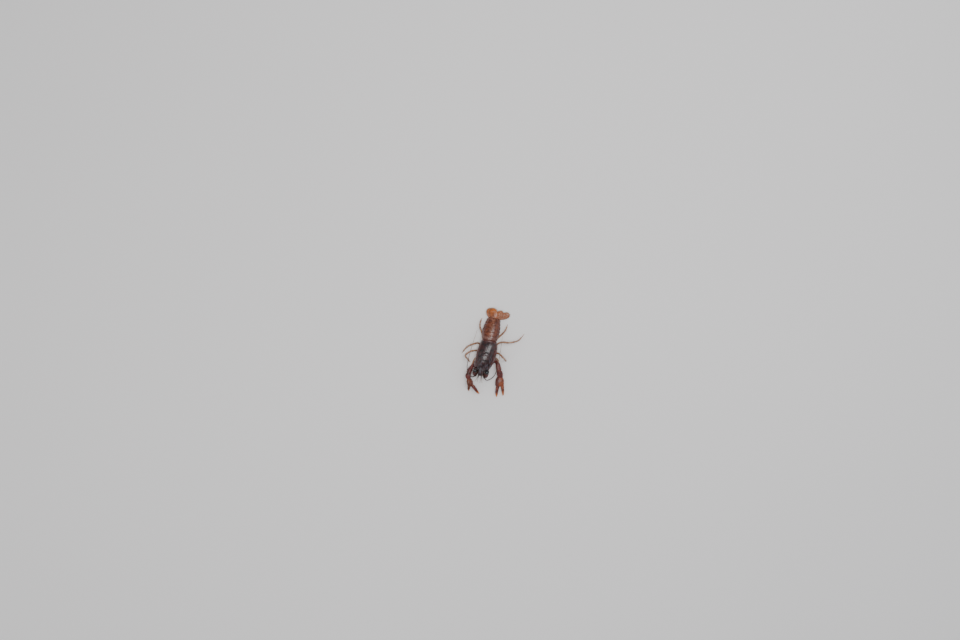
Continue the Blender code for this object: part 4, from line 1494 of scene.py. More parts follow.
    def build_arm(self, material: Material) -> None:
        """Makes the arm from its root to the elbow, with its three spines."""
        way = Way.through(self.arm)
        size = spline(np.asarray(self.arm)[:, 3:5], WAY_STEPS)
        spread = np.linspace(0.0, 1.0, len(size))
        share = np.linspace(0.0, 1.0, self.arm_rings)
        least, until = self.arm_neck
        taper = least + (1.0 - least) * ease(share, 0.0, until) + self.arm_flare.at(share - 0.95)
        _, near = jointed(share, self.arm_marks, self.arm_sides)
        forms, rim = [], []
        for start, end in self.lengths:
            begin = max(start - self.arm_overlap, 0.0)
            shares = begin + (end - begin) * share
            halves = read(np.interp(shares, way.shares, spread), spread, size) * taper[:, None]
            first = (self.side.value, 0.0, 0.0) if start == 0.0 else None
            last = self.elbow if end == 1.0 else None
            keys = np.column_stack([way.at(shares), halves])
            forms.append(Form.tube(domed(sweep(keys, 1, self.arm_sides, first, last), 0.10)))
            rim.append(near)
        sunk, length, half = self.arm_thorn
        for place, turn in self.arm_thorns:
            base, out = Limb(way, ()).skin(place, turn, sunk)
            forms.append(spike(base, out + way.ahead(place) * 0.9, length, half))
            rim.append(np.zeros(len(forms[-1].points)))
        self.installed(Form.joined(forms), "arm", material, np.concatenate(rim))

    def build_wrist(self, material: Material) -> None:
        """Makes the wrist, with the spine on its inner side and granules on top."""
        rows = spline(self.wrist, 10)
        rings = sweep(rows, 1, 40, first=self.elbow, last=self.hinge)
        forms = [Form.tube(domed(rings, 0.14, 4))]
        middle = np.asarray(self.wrist[1][:3])
        inner = unit((self.side.value * self.thorn_way[0], *self.thorn_way[1:]))
        forms.append(spike(middle + inner * 0.46, inner + (0.0, -0.4, 0.0), 0.34, 0.13, 16))
        forms.append(spike(middle + inner * 0.40 + (0.0, 0.22, 0.10), inner, 0.16, 0.08))
        forms += self.sown(rows[:, :3], rows[:, 4], *self.wrist_grains)
        skin = Form.joined(forms).fused(self.voxel * 0.8, 3)
        front = self.near(skin.points, self.wrist[-1][:3], 0.42)
        rim = 0.6 * np.maximum(self.near(skin.points, self.wrist[0][:3], 0.50), front)
        self.installed(skin, "wrist", material, rim)

    def build_hand(self, material: Material) -> None:
        """Makes the palm with its fixed finger, granules and teeth."""
        rows = spline(self.palm, 10)
        facing = rows[-1, :3] - rows[-11, :3]
        rings = sweep(rows, 1, 56, first=self.hinge, last=facing, roll=self.roll, square=0.86)
        body = Form.joined([Form.tube(domed(rings, 0.20, 5)), self.finger_rings(self.fixed)])
        forms = [body.fused(self.voxel, 9)]
        self.toothed(self.fixed, self.finger[2][:3], forms)
        forms += self.sown(rows[:, :3], rows[:, 4], *self.palm_grains)
        skin = Form.joined(forms).fused(self.voxel, 3).pushed(self.uneven).grounded()
        wrist = self.near(skin.points, self.palm[0][:3], 0.42)
        rim = np.maximum(wrist, 0.8 * self.near(skin.points, self.finger[0][:3], 0.40))
        self.installed(skin, "hand", material, rim, self.fixed)
        self.haired(self.fixed, 0.0)

    def build_finger(self, material: Material) -> None:
        """Makes the moving finger with its knuckle and teeth."""
        facing = unit(np.asarray(self.palm[-1][:3]) - np.asarray(self.palm[-2][:3]))
        root = np.asarray(self.finger[0][:3])
        forms = [self.finger_rings(self.finger, facing), Form.ball(root + facing * 0.02, self.knuckle, 28)]
        self.toothed(self.finger, self.fixed[2][:3], forms)
        rows = np.asarray(self.finger)
        forms += self.sown(rows[:, :3], rows[:, 4] * 0.9, *self.finger_grains)
        skin = Form.joined(forms).fused(self.voxel * 0.85, 3).grounded()
        rim = 0.8 * self.near(skin.points, root - facing * 0.1, 0.42)
        self.installed(skin, "finger", material, rim, self.finger)
        self.haired(self.finger, 0.5)

    def haired(self, keys: Rows, tile: float) -> None:
        """Plants tufts of short bristles along a finger."""
        limb = Limb(Way.through(keys), ())
        halves = [row[3] for row in keys]
        first, reach = self.tuft_run
        for n in range(self.tufts):
            share = first + reach * n / self.tufts
            half = np.interp(share, np.linspace(0, 1, len(keys)), halves) * 0.84
            turn = math.pi / 2 + self.draw.uniform(-self.tuft_turn, self.tuft_turn)
            for _ in range(self.tuft_hairs):
                root, out = limb.skin(share + self.draw.uniform(-0.01, 0.01), turn, half)
                way = out + limb.way.ahead(share) * self.hair_lean
                place = (tile + 0.4 * share, 0.5 + 0.2 * math.sin(turn))
                self.bristles.add(root, way, self.hair_length, place)

    def build(self) -> None:
        """Makes the whole leg."""
        arm = self.arm_finish.make()
        self.build_arm(arm)
        self.build_wrist(arm)
        self.build_hand(self.hand_finish.make())
        self.build_finger(self.finger_finish.make())


class Foot(Enum):
    """How a walking leg ends."""

    PINCER = "pincer"
    CLAW = "claw"


@dataclass
class WalkingLeg:
    """A slim walking leg of seven lengths, from the belly plate to its tip."""

    side: Side
    number: int
    keys: Rows
    finish: ShellFinish
    bristles: Bristles
    tip_height: float = 0.022
    upper: Rows = (
        (0.0, 0.13, 0.26, 0.25), (0.13, 0.22, 0.22, 0.21), (0.22, 0.42, 0.20, 0.21, 1.1),
        (0.42, 1.0, 0.21, 0.21, 1.1),
    )
    hand: Pair = (0.30, 0.70)
    thumb_rings: int = 14
    thumb: Pair = (0.095, 0.018)
    thumb_apart: float = 0.115
    hairs: int = 70
    hair_length: float = 0.14
    hair_roots: tuple[float, ...] = (0.16, 0.16, 0.13, 0.02)
    hair_lean: float = 1.4

    @property
    def foot(self) -> Foot:
        """Legs 2 and 3 end in small pincers."""
        return Foot.PINCER if self.number in (2, 3) else Foot.CLAW

    @property
    def knee(self) -> Triple:
        """The highest of the leg's key points, where it bends."""
        return max(self.keys[2:-1], key=lambda row: row[2])

    def lengths(self, knee: float) -> list[Length]:
        """The seven lengths, on each side of the knee's share of the way."""
        hand, finger = (knee + (1.0 - knee) * share for share in self.hand)
        return [
            *(Length(knee * start, knee * end, *sizes) for start, end, *sizes in self.upper),
            Length(knee, hand, 0.18, 0.20, 1.05),
            Length(hand, finger, 0.17, 0.155 if self.foot is Foot.CLAW else 0.18),
            Length(finger, 1.0, 0.115, 0.022),
        ]

    def pincer(self, way: Way, start: float) -> Form:
        """The small fixed finger beside the leg's last length."""
        across = unit(np.cross(way.ahead(0.95), UP))
        apart = self.thumb_apart * np.sin(np.pi * np.linspace(0.25, 0.94, self.thumb_rings))
        places = way.at(np.linspace(start - 0.03, 1.0 - 0.015, self.thumb_rings)) + across * apart[:, None]
        half = np.linspace(*self.thumb, self.thumb_rings)
        return Form.tube(domed(sweep(np.column_stack([places, half, half]), 1, 14), 0.02))

    def build(self) -> None:
        """Makes the leg."""
        x, y, _ = self.keys[-1]
        way = Way.through([*self.keys[:-1], (x, y, self.tip_height)])
        knee = float(way.shares[int(np.argmin(np.linalg.norm(way.points - np.asarray(self.knee), axis=1)))])
        parts = self.lengths(knee)
        limb = Limb(way, parts, first=(self.side.value, 0.0, 0.0))
        whole, marks = limb.build()
        if self.foot is Foot.PINCER:
            thumb = self.pincer(way, parts[-1].start)
            whole = Form.joined([whole, thumb])
            for mark, value in (("along", 0.9), ("rim", 0.0)):
                marks[mark] = np.concatenate([marks[mark], np.full(len(thumb.points), value)])
        stem = f"leg_{self.number}"
        nodes = [f"{stem}_{part}_{self.side.word}" for part in ("upper", "lower")]
        install(whole.grounded(), f"{stem}_{self.side.word}_limb", self.finish.make(), nodes, marks)
        for n in range(self.hairs):
            share = knee + (0.98 - knee) * n / self.hairs
            half = float(np.interp(share, (knee, parts[4].end, parts[5].end, 1.0), self.hair_roots))
            turn = self.bristles.draw.uniform(0.0, 2 * math.pi)
            root, out = limb.skin(share, turn, half * 0.9)
            place = (0.1 * self.number + 0.09 * share, 0.25 + 0.25 * self.side.value + 0.03 * turn)
            self.bristles.add(root, out + way.ahead(share) * self.hair_lean, self.hair_length, place)


@dataclass
class Tail:
    """The tail's six bands with their side flaps, the belly below them and the swimmerets."""

    finish: TailFinish
    belly: ShellFinish
    bristles: Bristles
    front: float = 3.20
    pitch: float = 0.8417
    sizes: Rows = (
        (1.68, 2.90, 1.00), (1.81, 2.68, 0.66), (1.85, 2.50, 0.50), (1.78, 2.26, 0.38),
        (1.62, 1.96, 0.28), (1.42, 1.60, 0.18), (0.98, 1.06, 0.18),
    )
    last_at: float = 0.20
    lip: float = 0.16
    last_lip: float = 0.10
    tuck: float = 0.26
    plate: float = 0.075
    flare: Pair = (0.20, 0.6)
    lobe_from: float = 0.66
    lobe_points: Pair = (0.50, 0.66)
    lobe_reach: float = 0.86
    lobe_curves: Pair = (2.2, 3.4)
    lobe_lift: float = 0.05
    square: Pair = (0.80, 0.72)
    step_down: Triple = (-0.115, 0.12, 0.34)
    swell: Triple = (0.035, 0.45, 0.95)
    lines: tuple[tuple[float, Crease], ...] = ((0.40, Crease(-0.022, 0.05)), (0.95, Crease(0.020, 0.05)))
    hinge_at: float = 0.70
    hinge: Crease = Crease(0.045, 0.045)
    columns: int = 121
    rows: int = 26
    core_inset: Triple = (0.20, 0.22, 0.52)
    core_least: float = 0.25
    rib: Crease = Crease(0.07, 0.10)
    hair_length: float = 0.15
    blade_hairs: int = 22
    rear_rim: Crease = Crease(1.0, 0.07)
    side_rim: Crease = Crease(0.8, 0.05)
    front_rim: Crease = Crease(0.6, 0.08)
    front_rim_at: float = 0.20
    rim_share: float = 0.8

    def measure(self, y: Array, column: int) -> Array:
        """Half width, top or lowest z of the tail at places along it."""
        centres = self.front + self.pitch * (np.arange(7) + 0.5)
        centres[-1] = self.front + self.pitch * 6 + self.last_at
        dense = spline([(c, *row) for c, row in zip(centres, self.sizes)], 8)
        return np.interp(y, dense[:, 0], dense[:, column + 1])

    def band(self, index: int) -> Form:
        """One band: an arch whose sides run down into rounded, back-swept flaps.

        Args:
            index: Its number from the front, from 0.

        Returns:
            Its form.
        """
        start = self.front + self.pitch * index - self.tuck
        end = self.front + self.pitch * (index + 1) + (self.lip if index < 5 else self.last_lip)
        across = np.linspace(-1.0, 1.0, self.columns)
        share = np.linspace(0.0, 1.0, self.rows)[:, None]
        lobe = ease(np.abs(across), self.lobe_from, 1.0)
        point = start + (end - start) * self.lobe_points[min(index, 1)]
        head, foot = (
            edge + (point - edge) * self.lobe_reach * lobe**curve
            for edge, curve in zip((start, end), self.lobe_curves)
        )
        y = head + (foot - head) * share
        turn = math.pi / 2 * (1.0 - across)
        half, top, flap = self.measure(y, 0), self.measure(y, 1), self.sizes[index][2]
        down, swell = self.step_down, self.swell
        step = down[0] * (1.0 - ease(share, *down[1:])) + swell[0] * ease(share, *swell[1:])
        for place, crease in self.lines:
            step = step + crease.at(share - place)
        x = power(np.cos(turn), self.square[0]) * (half + step)
        z = flap + np.abs(np.sin(turn)) ** self.square[1] * (top + step - flap)
        z = z + self.lobe_lift * lobe * (1.0 - share)
        flare, fading = self.flare
        x = x + np.sign(x) * flare * lobe * (1.0 - fading * share)
        along = ease(share, 0.15, 0.4) * (1.0 - ease(share, 0.75, 0.95))
        x = x - np.sign(x) * (self.hinge.at(np.abs(across) - self.hinge_at) * along)
        return Form.plate(np.stack([x, y, z], axis=-1), self.plate)

    def core(self) -> Form:
        """The flesh under the bands, with a ribbed belly."""
        y = np.linspace(self.front - 0.10, self.front + 6 * self.pitch - 0.02, 110)[:, None]
        turn = 2 * np.pi * (np.arange(64) + 0.5)[None] / 64
        beside, over, under = self.core_inset
        half, top = self.measure(y, 0) - beside, self.measure(y, 1) - over
        low = np.minimum(self.measure(y, 2) + under, top - self.core_least)
        rib = self.rib.at((y - self.front) / self.pitch % 1.0 - 0.25)
        x = power(np.cos(turn), 0.7) * half
        arch = np.sin(turn)
        middle = low + 0.25 * (top - low)
        above = middle + np.abs(arch) ** 0.8 * (top - middle)
        below = middle - np.abs(arch) ** 0.4 * (middle - low + rib)
        return Form.tube(domed(np.stack([x, y + 0.0 * x, np.where(arch > 0, above, below)], axis=-1), 0.05))

    def swimmeret(self, side: Side, index: int) -> Form:
        """The stalk and two soft blades of one swimmeret, fringed with bristles."""
        half, _, flap = self.sizes[index]
        front = self.front + self.pitch * index
        channel = (half - 0.46) * side.value
        forms = []
        for share, reach in ((0.25, 0.86), (0.62, 0.94)):
            keys = (
                (channel * share, front + 0.16, flap + 0.66, 0.12, 0.12),
                (channel * share, front + 0.26, flap + 0.42, 0.10, 0.09),
                (channel * share * 1.05, front + 0.52, flap + 0.26, 0.13, 0.05),
                (channel * share * 1.10, front + reach * 0.86, flap + 0.14, 0.11, 0.04),
                (channel * share * 1.10, front + reach, flap + 0.10, 0.03, 0.02),
            )
            forms.append(Form.tube(sweep(keys, 6, 16)))
            way = Way.through(keys)
            for n in range(self.blade_hairs):
                spot = 0.45 + 0.55 * n / self.blade_hairs
                for edge in (-1.0, 1.0):
                    aside = edge * 0.10 * (1.0 - 0.7 * ease(spot, 0.85, 1.0))
                    place = (0.1 + 0.15 * index + 0.12 * share, 0.5 + 0.2 * side.value + 0.1 * spot)
                    root = way.at(spot) + np.array((aside, 0.0, 0.0))
                    self.bristles.add(root, (edge * 0.6, 1.0, -0.12), self.hair_length, place)
        return Form.joined(forms)

    def build(self) -> None:
        """Makes the bands, the belly and the swimmerets."""
        horn, soft = self.finish.make(), self.belly.make()
        share = np.tile(np.repeat(np.linspace(0.0, 1.0, self.rows), self.columns), 2)
        across = np.tile(np.linspace(-1.0, 1.0, self.columns), 2 * self.rows)
        rim = np.maximum(self.rear_rim.at(share - 1.0), self.side_rim.at(np.abs(across) - 1.0))
        rim = np.maximum(rim, self.front_rim.at(share - self.front_rim_at)) * self.rim_share
        for index in range(6):
            name = f"abdomen_{index + 1}"
            install(self.band(index), f"{name}_band", horn, [name], {"rim": rim})
        install(self.core(), "tail_belly", soft)
        for index in (1, 2, 3, 4):
            blades = [self.swimmeret(side, index) for side in Side]
            install(Form.joined(blades), f"swimmerets_{index + 1}", soft)


@dataclass
class FanPlate:
    """One plate of the tail fan, by the middle and half width along it."""

    name: str
    keys: Rows
    outer: int = 0
    cross: float = 0.0
    points: tuple[Pair, ...] = ()


FAN_PLATES = (
    FanPlate(
        "telson",
        (
            (0.02, -0.12, 1.00, 0.66), (-0.04, 0.22, 1.03, 0.74), (-0.18, 0.75, 0.98, 0.82),
            (-0.42, 1.28, 0.88, 0.87), (-0.62, 1.75, 0.76, 0.90), (-0.78, 2.22, 0.64, 0.90),
        ),
        cross=0.66,
        points=((-1.0, 0.64), (1.0, 0.64), (-0.86, 0.66), (0.86, 0.66)),
    ),
    FanPlate(
        "uropod_inner_right",
        (
            (-0.36, -0.05, 0.50, 0.16), (-0.52, 0.40, 0.56, 0.40), (-0.78, 1.00, 0.56, 0.60),
            (-1.00, 1.55, 0.46, 0.66), (-1.14, 2.10, 0.33, 0.66),
        ),
    ),
    FanPlate(
        "uropod_outer_right",
        (
            (-0.86, -0.05, 0.36, 0.18), (-1.14, 0.36, 0.36, 0.42), (-1.34, 0.88, 0.34, 0.60),
            (-1.44, 1.40, 0.26, 0.66), (-1.48, 2.00, 0.18, 0.66),
        ),
        outer=-1,
        cross=0.74,
    ),
    FanPlate(
        "uropod_inner_left",
        (
            (0.40, -0.05, 0.50, 0.18), (0.62, 0.42, 0.52, 0.50), (0.92, 0.92, 0.48, 0.72),
            (1.24, 1.40, 0.37, 0.80), (1.58, 1.94, 0.26, 0.80),
        ),
    ),
    FanPlate(
        "uropod_outer_left",
        (
            (0.96, -0.05, 0.34, 0.16), (1.36, 0.36, 0.28, 0.42), (1.92, 0.84, 0.22, 0.64),
            (2.52, 1.26, 0.15, 0.74), (3.24, 1.72, 0.10, 0.74),
        ),
        outer=1,
        cross=0.70,
    ),
)


@dataclass
class TailFan:
    """The telson and the two plates on each side of it, each with its fringe."""

    finish: FanFinish
    fringe: Bristles
    start: float = 8.25
    plates: tuple[FanPlate, ...] = FAN_PLATES
    thickness: float = 0.085
    rounding: float = 0.50
    end_curves: Pair = (2.6, 0.48)
    crowding: float = 1.9
    least_half: float = 0.05
    arch: float = 0.13
    rib: Crease = Crease(0.035, 0.09)
    rib_end: Pair = (0.70, 0.95)
    border_at: float = 0.90
    border: Crease = Crease(0.022, 0.07)
    rays: Pair = (0.005, 60.0)
    rays_from: Pair = (0.55, 0.9)
    seam_bend: Pair = (0.03, 2.0)
    seam: Crease = Crease(-0.030, 0.022)
    seam_lip: Crease = Crease(0.012, 0.02)
    lip_ahead: float = 0.04
    spacing: float = 0.022
    fringe_from: float = 0.22
    fringe_centre: float = 0.30
    fringe_length: Triple = (0.10, 0.20, 0.7)
    rows: int = 56
    columns: int = 41

    def grid(self, plate: FanPlate) -> tuple[Array, Array]:
        """The outer face of a plate.

        Args:
            plate: The plate.

        Returns:
            Its points by row and column, and the shares along it.
        """
        rows = spline(plate.keys, 12)
        lengths = run(rows[:, :2])
        share = 1.0 - (1.0 - np.linspace(0.0, 1.0, self.rows)) ** self.crowding
        found = read(share, lengths / lengths[-1], rows)
        found[:, 1] += self.start
        ahead = np.gradient(found[:, :2], axis=0)
        ahead /= np.linalg.norm(ahead, axis=1)[:, None]
        across = np.linspace(-1.0, 1.0, self.columns)
        fall, curve = self.end_curves
        near_end = np.clip((share - self.rounding) / (1.0 - self.rounding), 0.0, 1.0)[:, None]
        half = found[:, 3:4] * np.maximum(1.0 - near_end**fall, 0.0) ** curve
        half = np.maximum(half, self.least_half)
        x = found[:, :1] + ahead[:, 1:] * across * half
        y = found[:, 1:2] - ahead[:, :1] * across * half
        z = found[:, 2:3] + self.arch * half * (1.0 - across**2)
        z = z + self.rib.at(across) * (1.0 - ease(share, *self.rib_end))[:, None]
        z = z + self.border.at(np.abs(across) - self.border_at)
        height, count = self.rays
        z = z + height * np.cos(across * count) * ease(share, *self.rays_from)[:, None]
        if plate.cross:
            depth, turn = self.seam_bend
            away = share[:, None] - (plate.cross + depth * np.cos(across * turn))
            z = z + self.seam.at(away) + self.seam_lip.at(away + self.lip_ahead)
        return np.stack([x, y, z], axis=-1), share

    def fringed(self, grid: Array, tile: float) -> None:
        """Plants the fringe round the free end and sides of a plate, evenly spaced."""
        first = int(self.rows * self.fringe_from)
        edge = np.vstack([grid[first:, 0], grid[-1, 1:], grid[first:-1, -1][::-1]])
        lengths = run(edge)
        spots = np.arange(0.0, lengths[-1], self.spacing)
        centre = grid[int(self.rows * self.fringe_centre), self.columns // 2]
        low, high = grid.reshape(-1, 3).min(axis=0), grid.reshape(-1, 3).max(axis=0)
        least, more, curve = self.fringe_length
        for spot, root in zip(spots / lengths[-1], read(spots, lengths, edge)):
            u, v = ((root - low) / (high - low))[:2]
            reach = least + more * math.sin(math.pi * spot) ** curve
            way = (root - centre) * (1.0, 1.0, 0.1)
            self.fringe.add(root - (0.0, 0.0, 0.04), way, reach, (tile + 0.18 * u, 0.05 + 0.9 * v))

    def build(self) -> None:
        """Makes the five plates."""
        material = self.finish.make()
        for number, plate in enumerate(self.plates):
            grid, share = self.grid(plate)
            knob = grid[1, self.columns // 2] - (0.0, 0.0, 0.06)
            root = (plate.keys[0][3] * 0.9, 0.20, 0.10)
            forms = [Form.plate(grid, self.thickness), Form.ball(knob, root, 20)]
            for edge, place in plate.points:
                row = int(place * (self.rows - 1))
                column = int((edge + 1.0) / 2.0 * (self.columns - 1))
                forms.append(spike(grid[row, column] - (0.0, 0.0, 0.03), (edge * 0.5, 1.0, 0.0), 0.15, 0.045))
            if plate.outer:
                row = int(plate.cross * (self.rows - 1))
                for column in range(2, self.columns - 1, 3):
                    base = grid[row, column] - (0.0, 0.0, 0.01)
                    way = grid[row + 1, column] - grid[row, column]
                    forms.append(spike(base, unit(way) + (0.0, 0.0, 0.15), 0.07, 0.022, 6))
            whole = Form.joined(forms).grounded()
            along = np.tile(np.repeat(share, self.columns), 2)
            marks = np.concatenate([along, np.zeros(len(whole.points) - len(along))])
            install(whole, f"{plate.name}_plate", material, [plate.name], {"along": marks * 0.7})
            self.fringed(grid, 0.2 * number)


@dataclass(frozen=True)
class Light:
    """A soft light: its place and size in millimetres, its power and colour."""

    name: str
    place: Triple
    size: Pair
    watts: float
    colour: Colour


@dataclass
class Studio:
    """The pale floor, soft lights and the camera."""

    above: Pair = (-3.10, 7.19)
    turn: float = math.radians(13.0)
    field_width: float = 222.7
    lens: float = 50.0
    film: float = 36.0
    clip: Pair = (0.01, 10.0)
    floor_size: float = 3.0
    floor_colour: Colour = (0.92, 0.89, 0.87)
    floor_shade: float = 0.97
    floor_cloud: float = 60.0
    floor_roughness: float = 0.75
    world_colour: Colour = (0.80, 0.84, 0.90)
    world_strength: float = 0.42
    lights: tuple[Light, ...] = (
        Light("key", (20.0, 30.0, 270.0), (80.0, 260.0), 0.49, (0.98, 0.99, 1.0)),
        Light("fill", (300.0, 120.0, 220.0), (320.0, 320.0), 0.25, (0.90, 0.95, 1.0)),
        Light("rim", (-60.0, 320.0, 160.0), (240.0, 90.0), 0.14, (1.0, 0.97, 0.92)),
        Light("side", (-260.0, -120.0, 200.0), (320.0, 320.0), 0.20, (1.0, 0.98, 0.95)),
    )

    def placed(self, name: str, data: bpy.types.ID) -> bpy.types.Object:
        """An object of the studio, put in the scene."""
        thing = bpy.data.objects.new(name, data)
        bpy.context.scene.collection.objects.link(thing)
        return thing

    def floor(self) -> None:
        """A large pale floor, a little uneven in tone."""
        mesh = bpy.data.meshes.new("studio_floor")
        half = self.floor_size / 2
        corners = [(-half, -half, 0), (half, -half, 0), (half, half, 0), (-half, half, 0)]
        mesh.from_pydata(corners, [], [(0, 1, 2, 3)])
        bench = Bench.named("studio_floor")
        cloud = bench.noise(bench.spot().point, self.floor_cloud, 2.0)
        darker = tuple(part * self.floor_shade for part in self.floor_colour)
        tone = bench.blend(cloud, self.floor_colour, darker)
        mesh.materials.append(bench.done({"Base Color": tone, "Roughness": self.floor_roughness}))
        self.placed("studio_floor", mesh)

    def light(self, light: Light) -> None:
        """A soft rectangular light that faces the animal and isn't seen itself."""
        lamp = bpy.data.lights.new(light.name, "AREA")
        lamp.shape = "RECTANGLE"
        lamp.size, lamp.size_y = (part * MM for part in light.size)
        lamp.energy = light.watts
        lamp.color = light.colour
        thing = self.placed(light.name, lamp)
        thing.location = Vector(light.place) * MM
        thing.rotation_euler = (-thing.location).to_track_quat("-Z", "Y").to_euler()
        thing.visible_camera = False

    def camera(self) -> None:
        """The camera of the photograph: high above, looking straight down."""
        lens = bpy.data.cameras.new("camera")
        lens.lens = self.lens
        lens.sensor_width = self.film
        lens.clip_start, lens.clip_end = self.clip
        eye = self.placed("camera", lens)
        height = self.field_width * self.lens / self.film
        eye.location = Vector((*self.above, height)) * MM
        right = Vector((math.cos(self.turn), math.sin(self.turn), 0.0))
        upward = Vector((-math.sin(self.turn), math.cos(self.turn), 0.0))
        eye.rotation_euler = Matrix((right, upward, Vector(UP))).transposed().to_euler()
        bpy.context.scene.camera = eye

    def build(self) -> None:
        """Sets the stage."""
        self.floor()
        self.camera()
        for light in self.lights:
            self.light(light)
        world = bpy.data.worlds.new("studio")
        world.use_nodes = True
        background = world.node_tree.nodes["Background"]
        background.inputs["Color"].default_value = (*self.world_colour, 1.0)
        background.inputs["Strength"].default_value = self.world_strength
        bpy.context.scene.world = world


CLAW_SHAPES = {
    Side.RIGHT: {
        "arm": (
            (-0.90, -1.60, 0.42, 0.32, 0.32), (-1.48, -1.98, 0.42, 0.34, 0.34),
            (-2.00, -3.00, 0.74, 0.36, 0.36), (-2.54, -3.80, 1.02, 0.42, 0.42),
            (-2.80, -4.55, 1.26, 0.56, 0.52), (-2.86, -5.28, 1.40, 0.60, 0.54),
        ),
        "wrist": (
            (-2.87, -5.42, 1.42, 0.54, 0.48), (-2.88, -6.00, 1.42, 0.66, 0.56),
            (-2.64, -6.52, 1.34, 0.52, 0.46),
        ),
        "palm": (
            (-2.62, -6.60, 1.31, 0.50, 0.42), (-2.36, -7.05, 1.22, 0.84, 0.52),
            (-2.06, -7.55, 1.10, 0.91, 0.54), (-1.79, -8.08, 0.97, 0.78, 0.45),
        ),
        "fixed": (
            (-2.12, -7.86, 0.66, 0.38, 0.36), (-2.16, -8.40, 0.48, 0.33, 0.31),
            (-2.08, -9.00, 0.30, 0.25, 0.25), (-1.88, -9.48, 0.18, 0.08, 0.10),
        ),
        "finger": (
            (-1.36, -7.92, 1.20, 0.38, 0.34), (-0.86, -8.36, 1.18, 0.38, 0.34),
            (-0.08, -9.04, 0.96, 0.31, 0.28), (0.60, -9.52, 0.72, 0.11, 0.10),
        ),
    },
    Side.LEFT: {
        "arm": (
            (0.90, -1.60, 0.42, 0.32, 0.32), (1.70, -1.52, 0.42, 0.34, 0.34),
            (2.52, -1.36, 0.80, 0.36, 0.36), (3.12, -1.76, 1.14, 0.48, 0.44),
            (3.50, -2.55, 1.22, 0.62, 0.54), (3.76, -3.16, 1.16, 0.62, 0.54),
        ),
        "wrist": (
            (3.82, -3.28, 1.12, 0.56, 0.48), (4.16, -3.92, 0.92, 0.74, 0.56),
            (4.42, -4.54, 0.71, 0.62, 0.46),
        ),
        "palm": (
            (4.42, -4.62, 0.66, 0.62, 0.42), (4.46, -5.15, 0.58, 0.93, 0.52),
            (4.56, -5.80, 0.55, 1.03, 0.55), (4.72, -6.62, 0.50, 0.98, 0.47),
        ),
        "fixed": (
            (5.26, -6.30, 0.48, 0.40, 0.38), (5.54, -7.02, 0.44, 0.37, 0.36),
            (5.82, -7.85, 0.38, 0.30, 0.31), (6.06, -8.75, 0.32, 0.11, 0.11),
        ),
        "finger": (
            (4.34, -6.78, 0.48, 0.42, 0.38), (4.34, -7.45, 0.46, 0.39, 0.36),
            (4.44, -8.40, 0.40, 0.33, 0.31), (4.67, -9.34, 0.34, 0.12, 0.12),
        ),
    },
}
CLAW_ROLL = {Side.RIGHT: math.radians(-52.0), Side.LEFT: 0.0}
LEG_SHAPES = {
    (Side.RIGHT, 2): (
        (-0.88, -0.70, 0.36), (-1.62, -1.05, 0.36), (-2.20, -1.85, 0.34), (-2.48, -2.70, 0.27),
        (-2.58, -3.60, 0.25), (-2.20, -4.75, 0.10),
    ),
    (Side.RIGHT, 3): (
        (-0.88, 0.20, 0.36), (-1.90, 0.14, 0.46), (-2.70, 0.06, 1.00), (-3.66, -0.39, 1.62),
        (-4.46, -1.22, 1.92), (-4.44, -1.80, 1.66), (-3.80, -2.26, 0.96), (-3.08, -2.88, 0.12),
    ),
    (Side.RIGHT, 4): (
        (-0.88, 1.10, 0.36), (-1.70, 1.60, 0.42), (-2.30, 1.92, 0.78), (-3.00, 1.66, 1.30),
        (-4.00, 1.05, 1.84), (-4.74, 0.33, 1.50), (-5.19, -0.63, 0.76), (-5.51, -1.31, 0.12),
    ),
    (Side.RIGHT, 5): (
        (-0.88, 2.00, 0.36), (-1.40, 2.45, 0.32), (-1.60, 3.40, 0.28), (-1.92, 4.25, 0.32),
        (-2.26, 4.85, 0.62), (-2.66, 5.50, 0.78), (-2.90, 6.40, 0.60), (-2.88, 7.20, 0.34),
        (-2.72, 7.80, 0.10),
    ),
    (Side.LEFT, 2): (
        (0.88, -0.70, 0.36), (1.80, -0.62, 0.36), (2.60, -0.68, 0.32), (3.04, -1.00, 0.27),
        (3.22, -1.55, 0.26), (3.46, -2.50, 0.25), (3.66, -3.50, 0.10),
    ),
    (Side.LEFT, 3): (
        (0.88, 0.20, 0.36), (1.90, 0.42, 0.46), (2.70, 0.62, 1.00), (3.40, 0.36, 1.62),
        (3.96, -0.04, 2.06), (4.44, -0.34, 1.72), (4.80, -0.62, 0.92), (5.04, -0.86, 0.12),
    ),
    (Side.LEFT, 4): (
        (0.88, 1.10, 0.36), (1.72, 1.80, 0.42), (2.20, 2.80, 0.78), (3.10, 3.34, 1.34),
        (4.40, 3.54, 1.80), (5.46, 3.90, 1.62), (6.50, 4.46, 1.06), (7.12, 5.30, 0.52),
        (7.66, 6.38, 0.12),
    ),
    (Side.LEFT, 5): (
        (0.88, 2.00, 0.36), (1.40, 2.45, 0.32), (1.60, 3.40, 0.28), (1.98, 4.20, 0.32),
        (2.40, 4.80, 0.62), (2.86, 5.50, 0.78), (3.16, 6.20, 0.60), (3.32, 7.00, 0.34),
        (3.34, 7.62, 0.10),
    ),
}


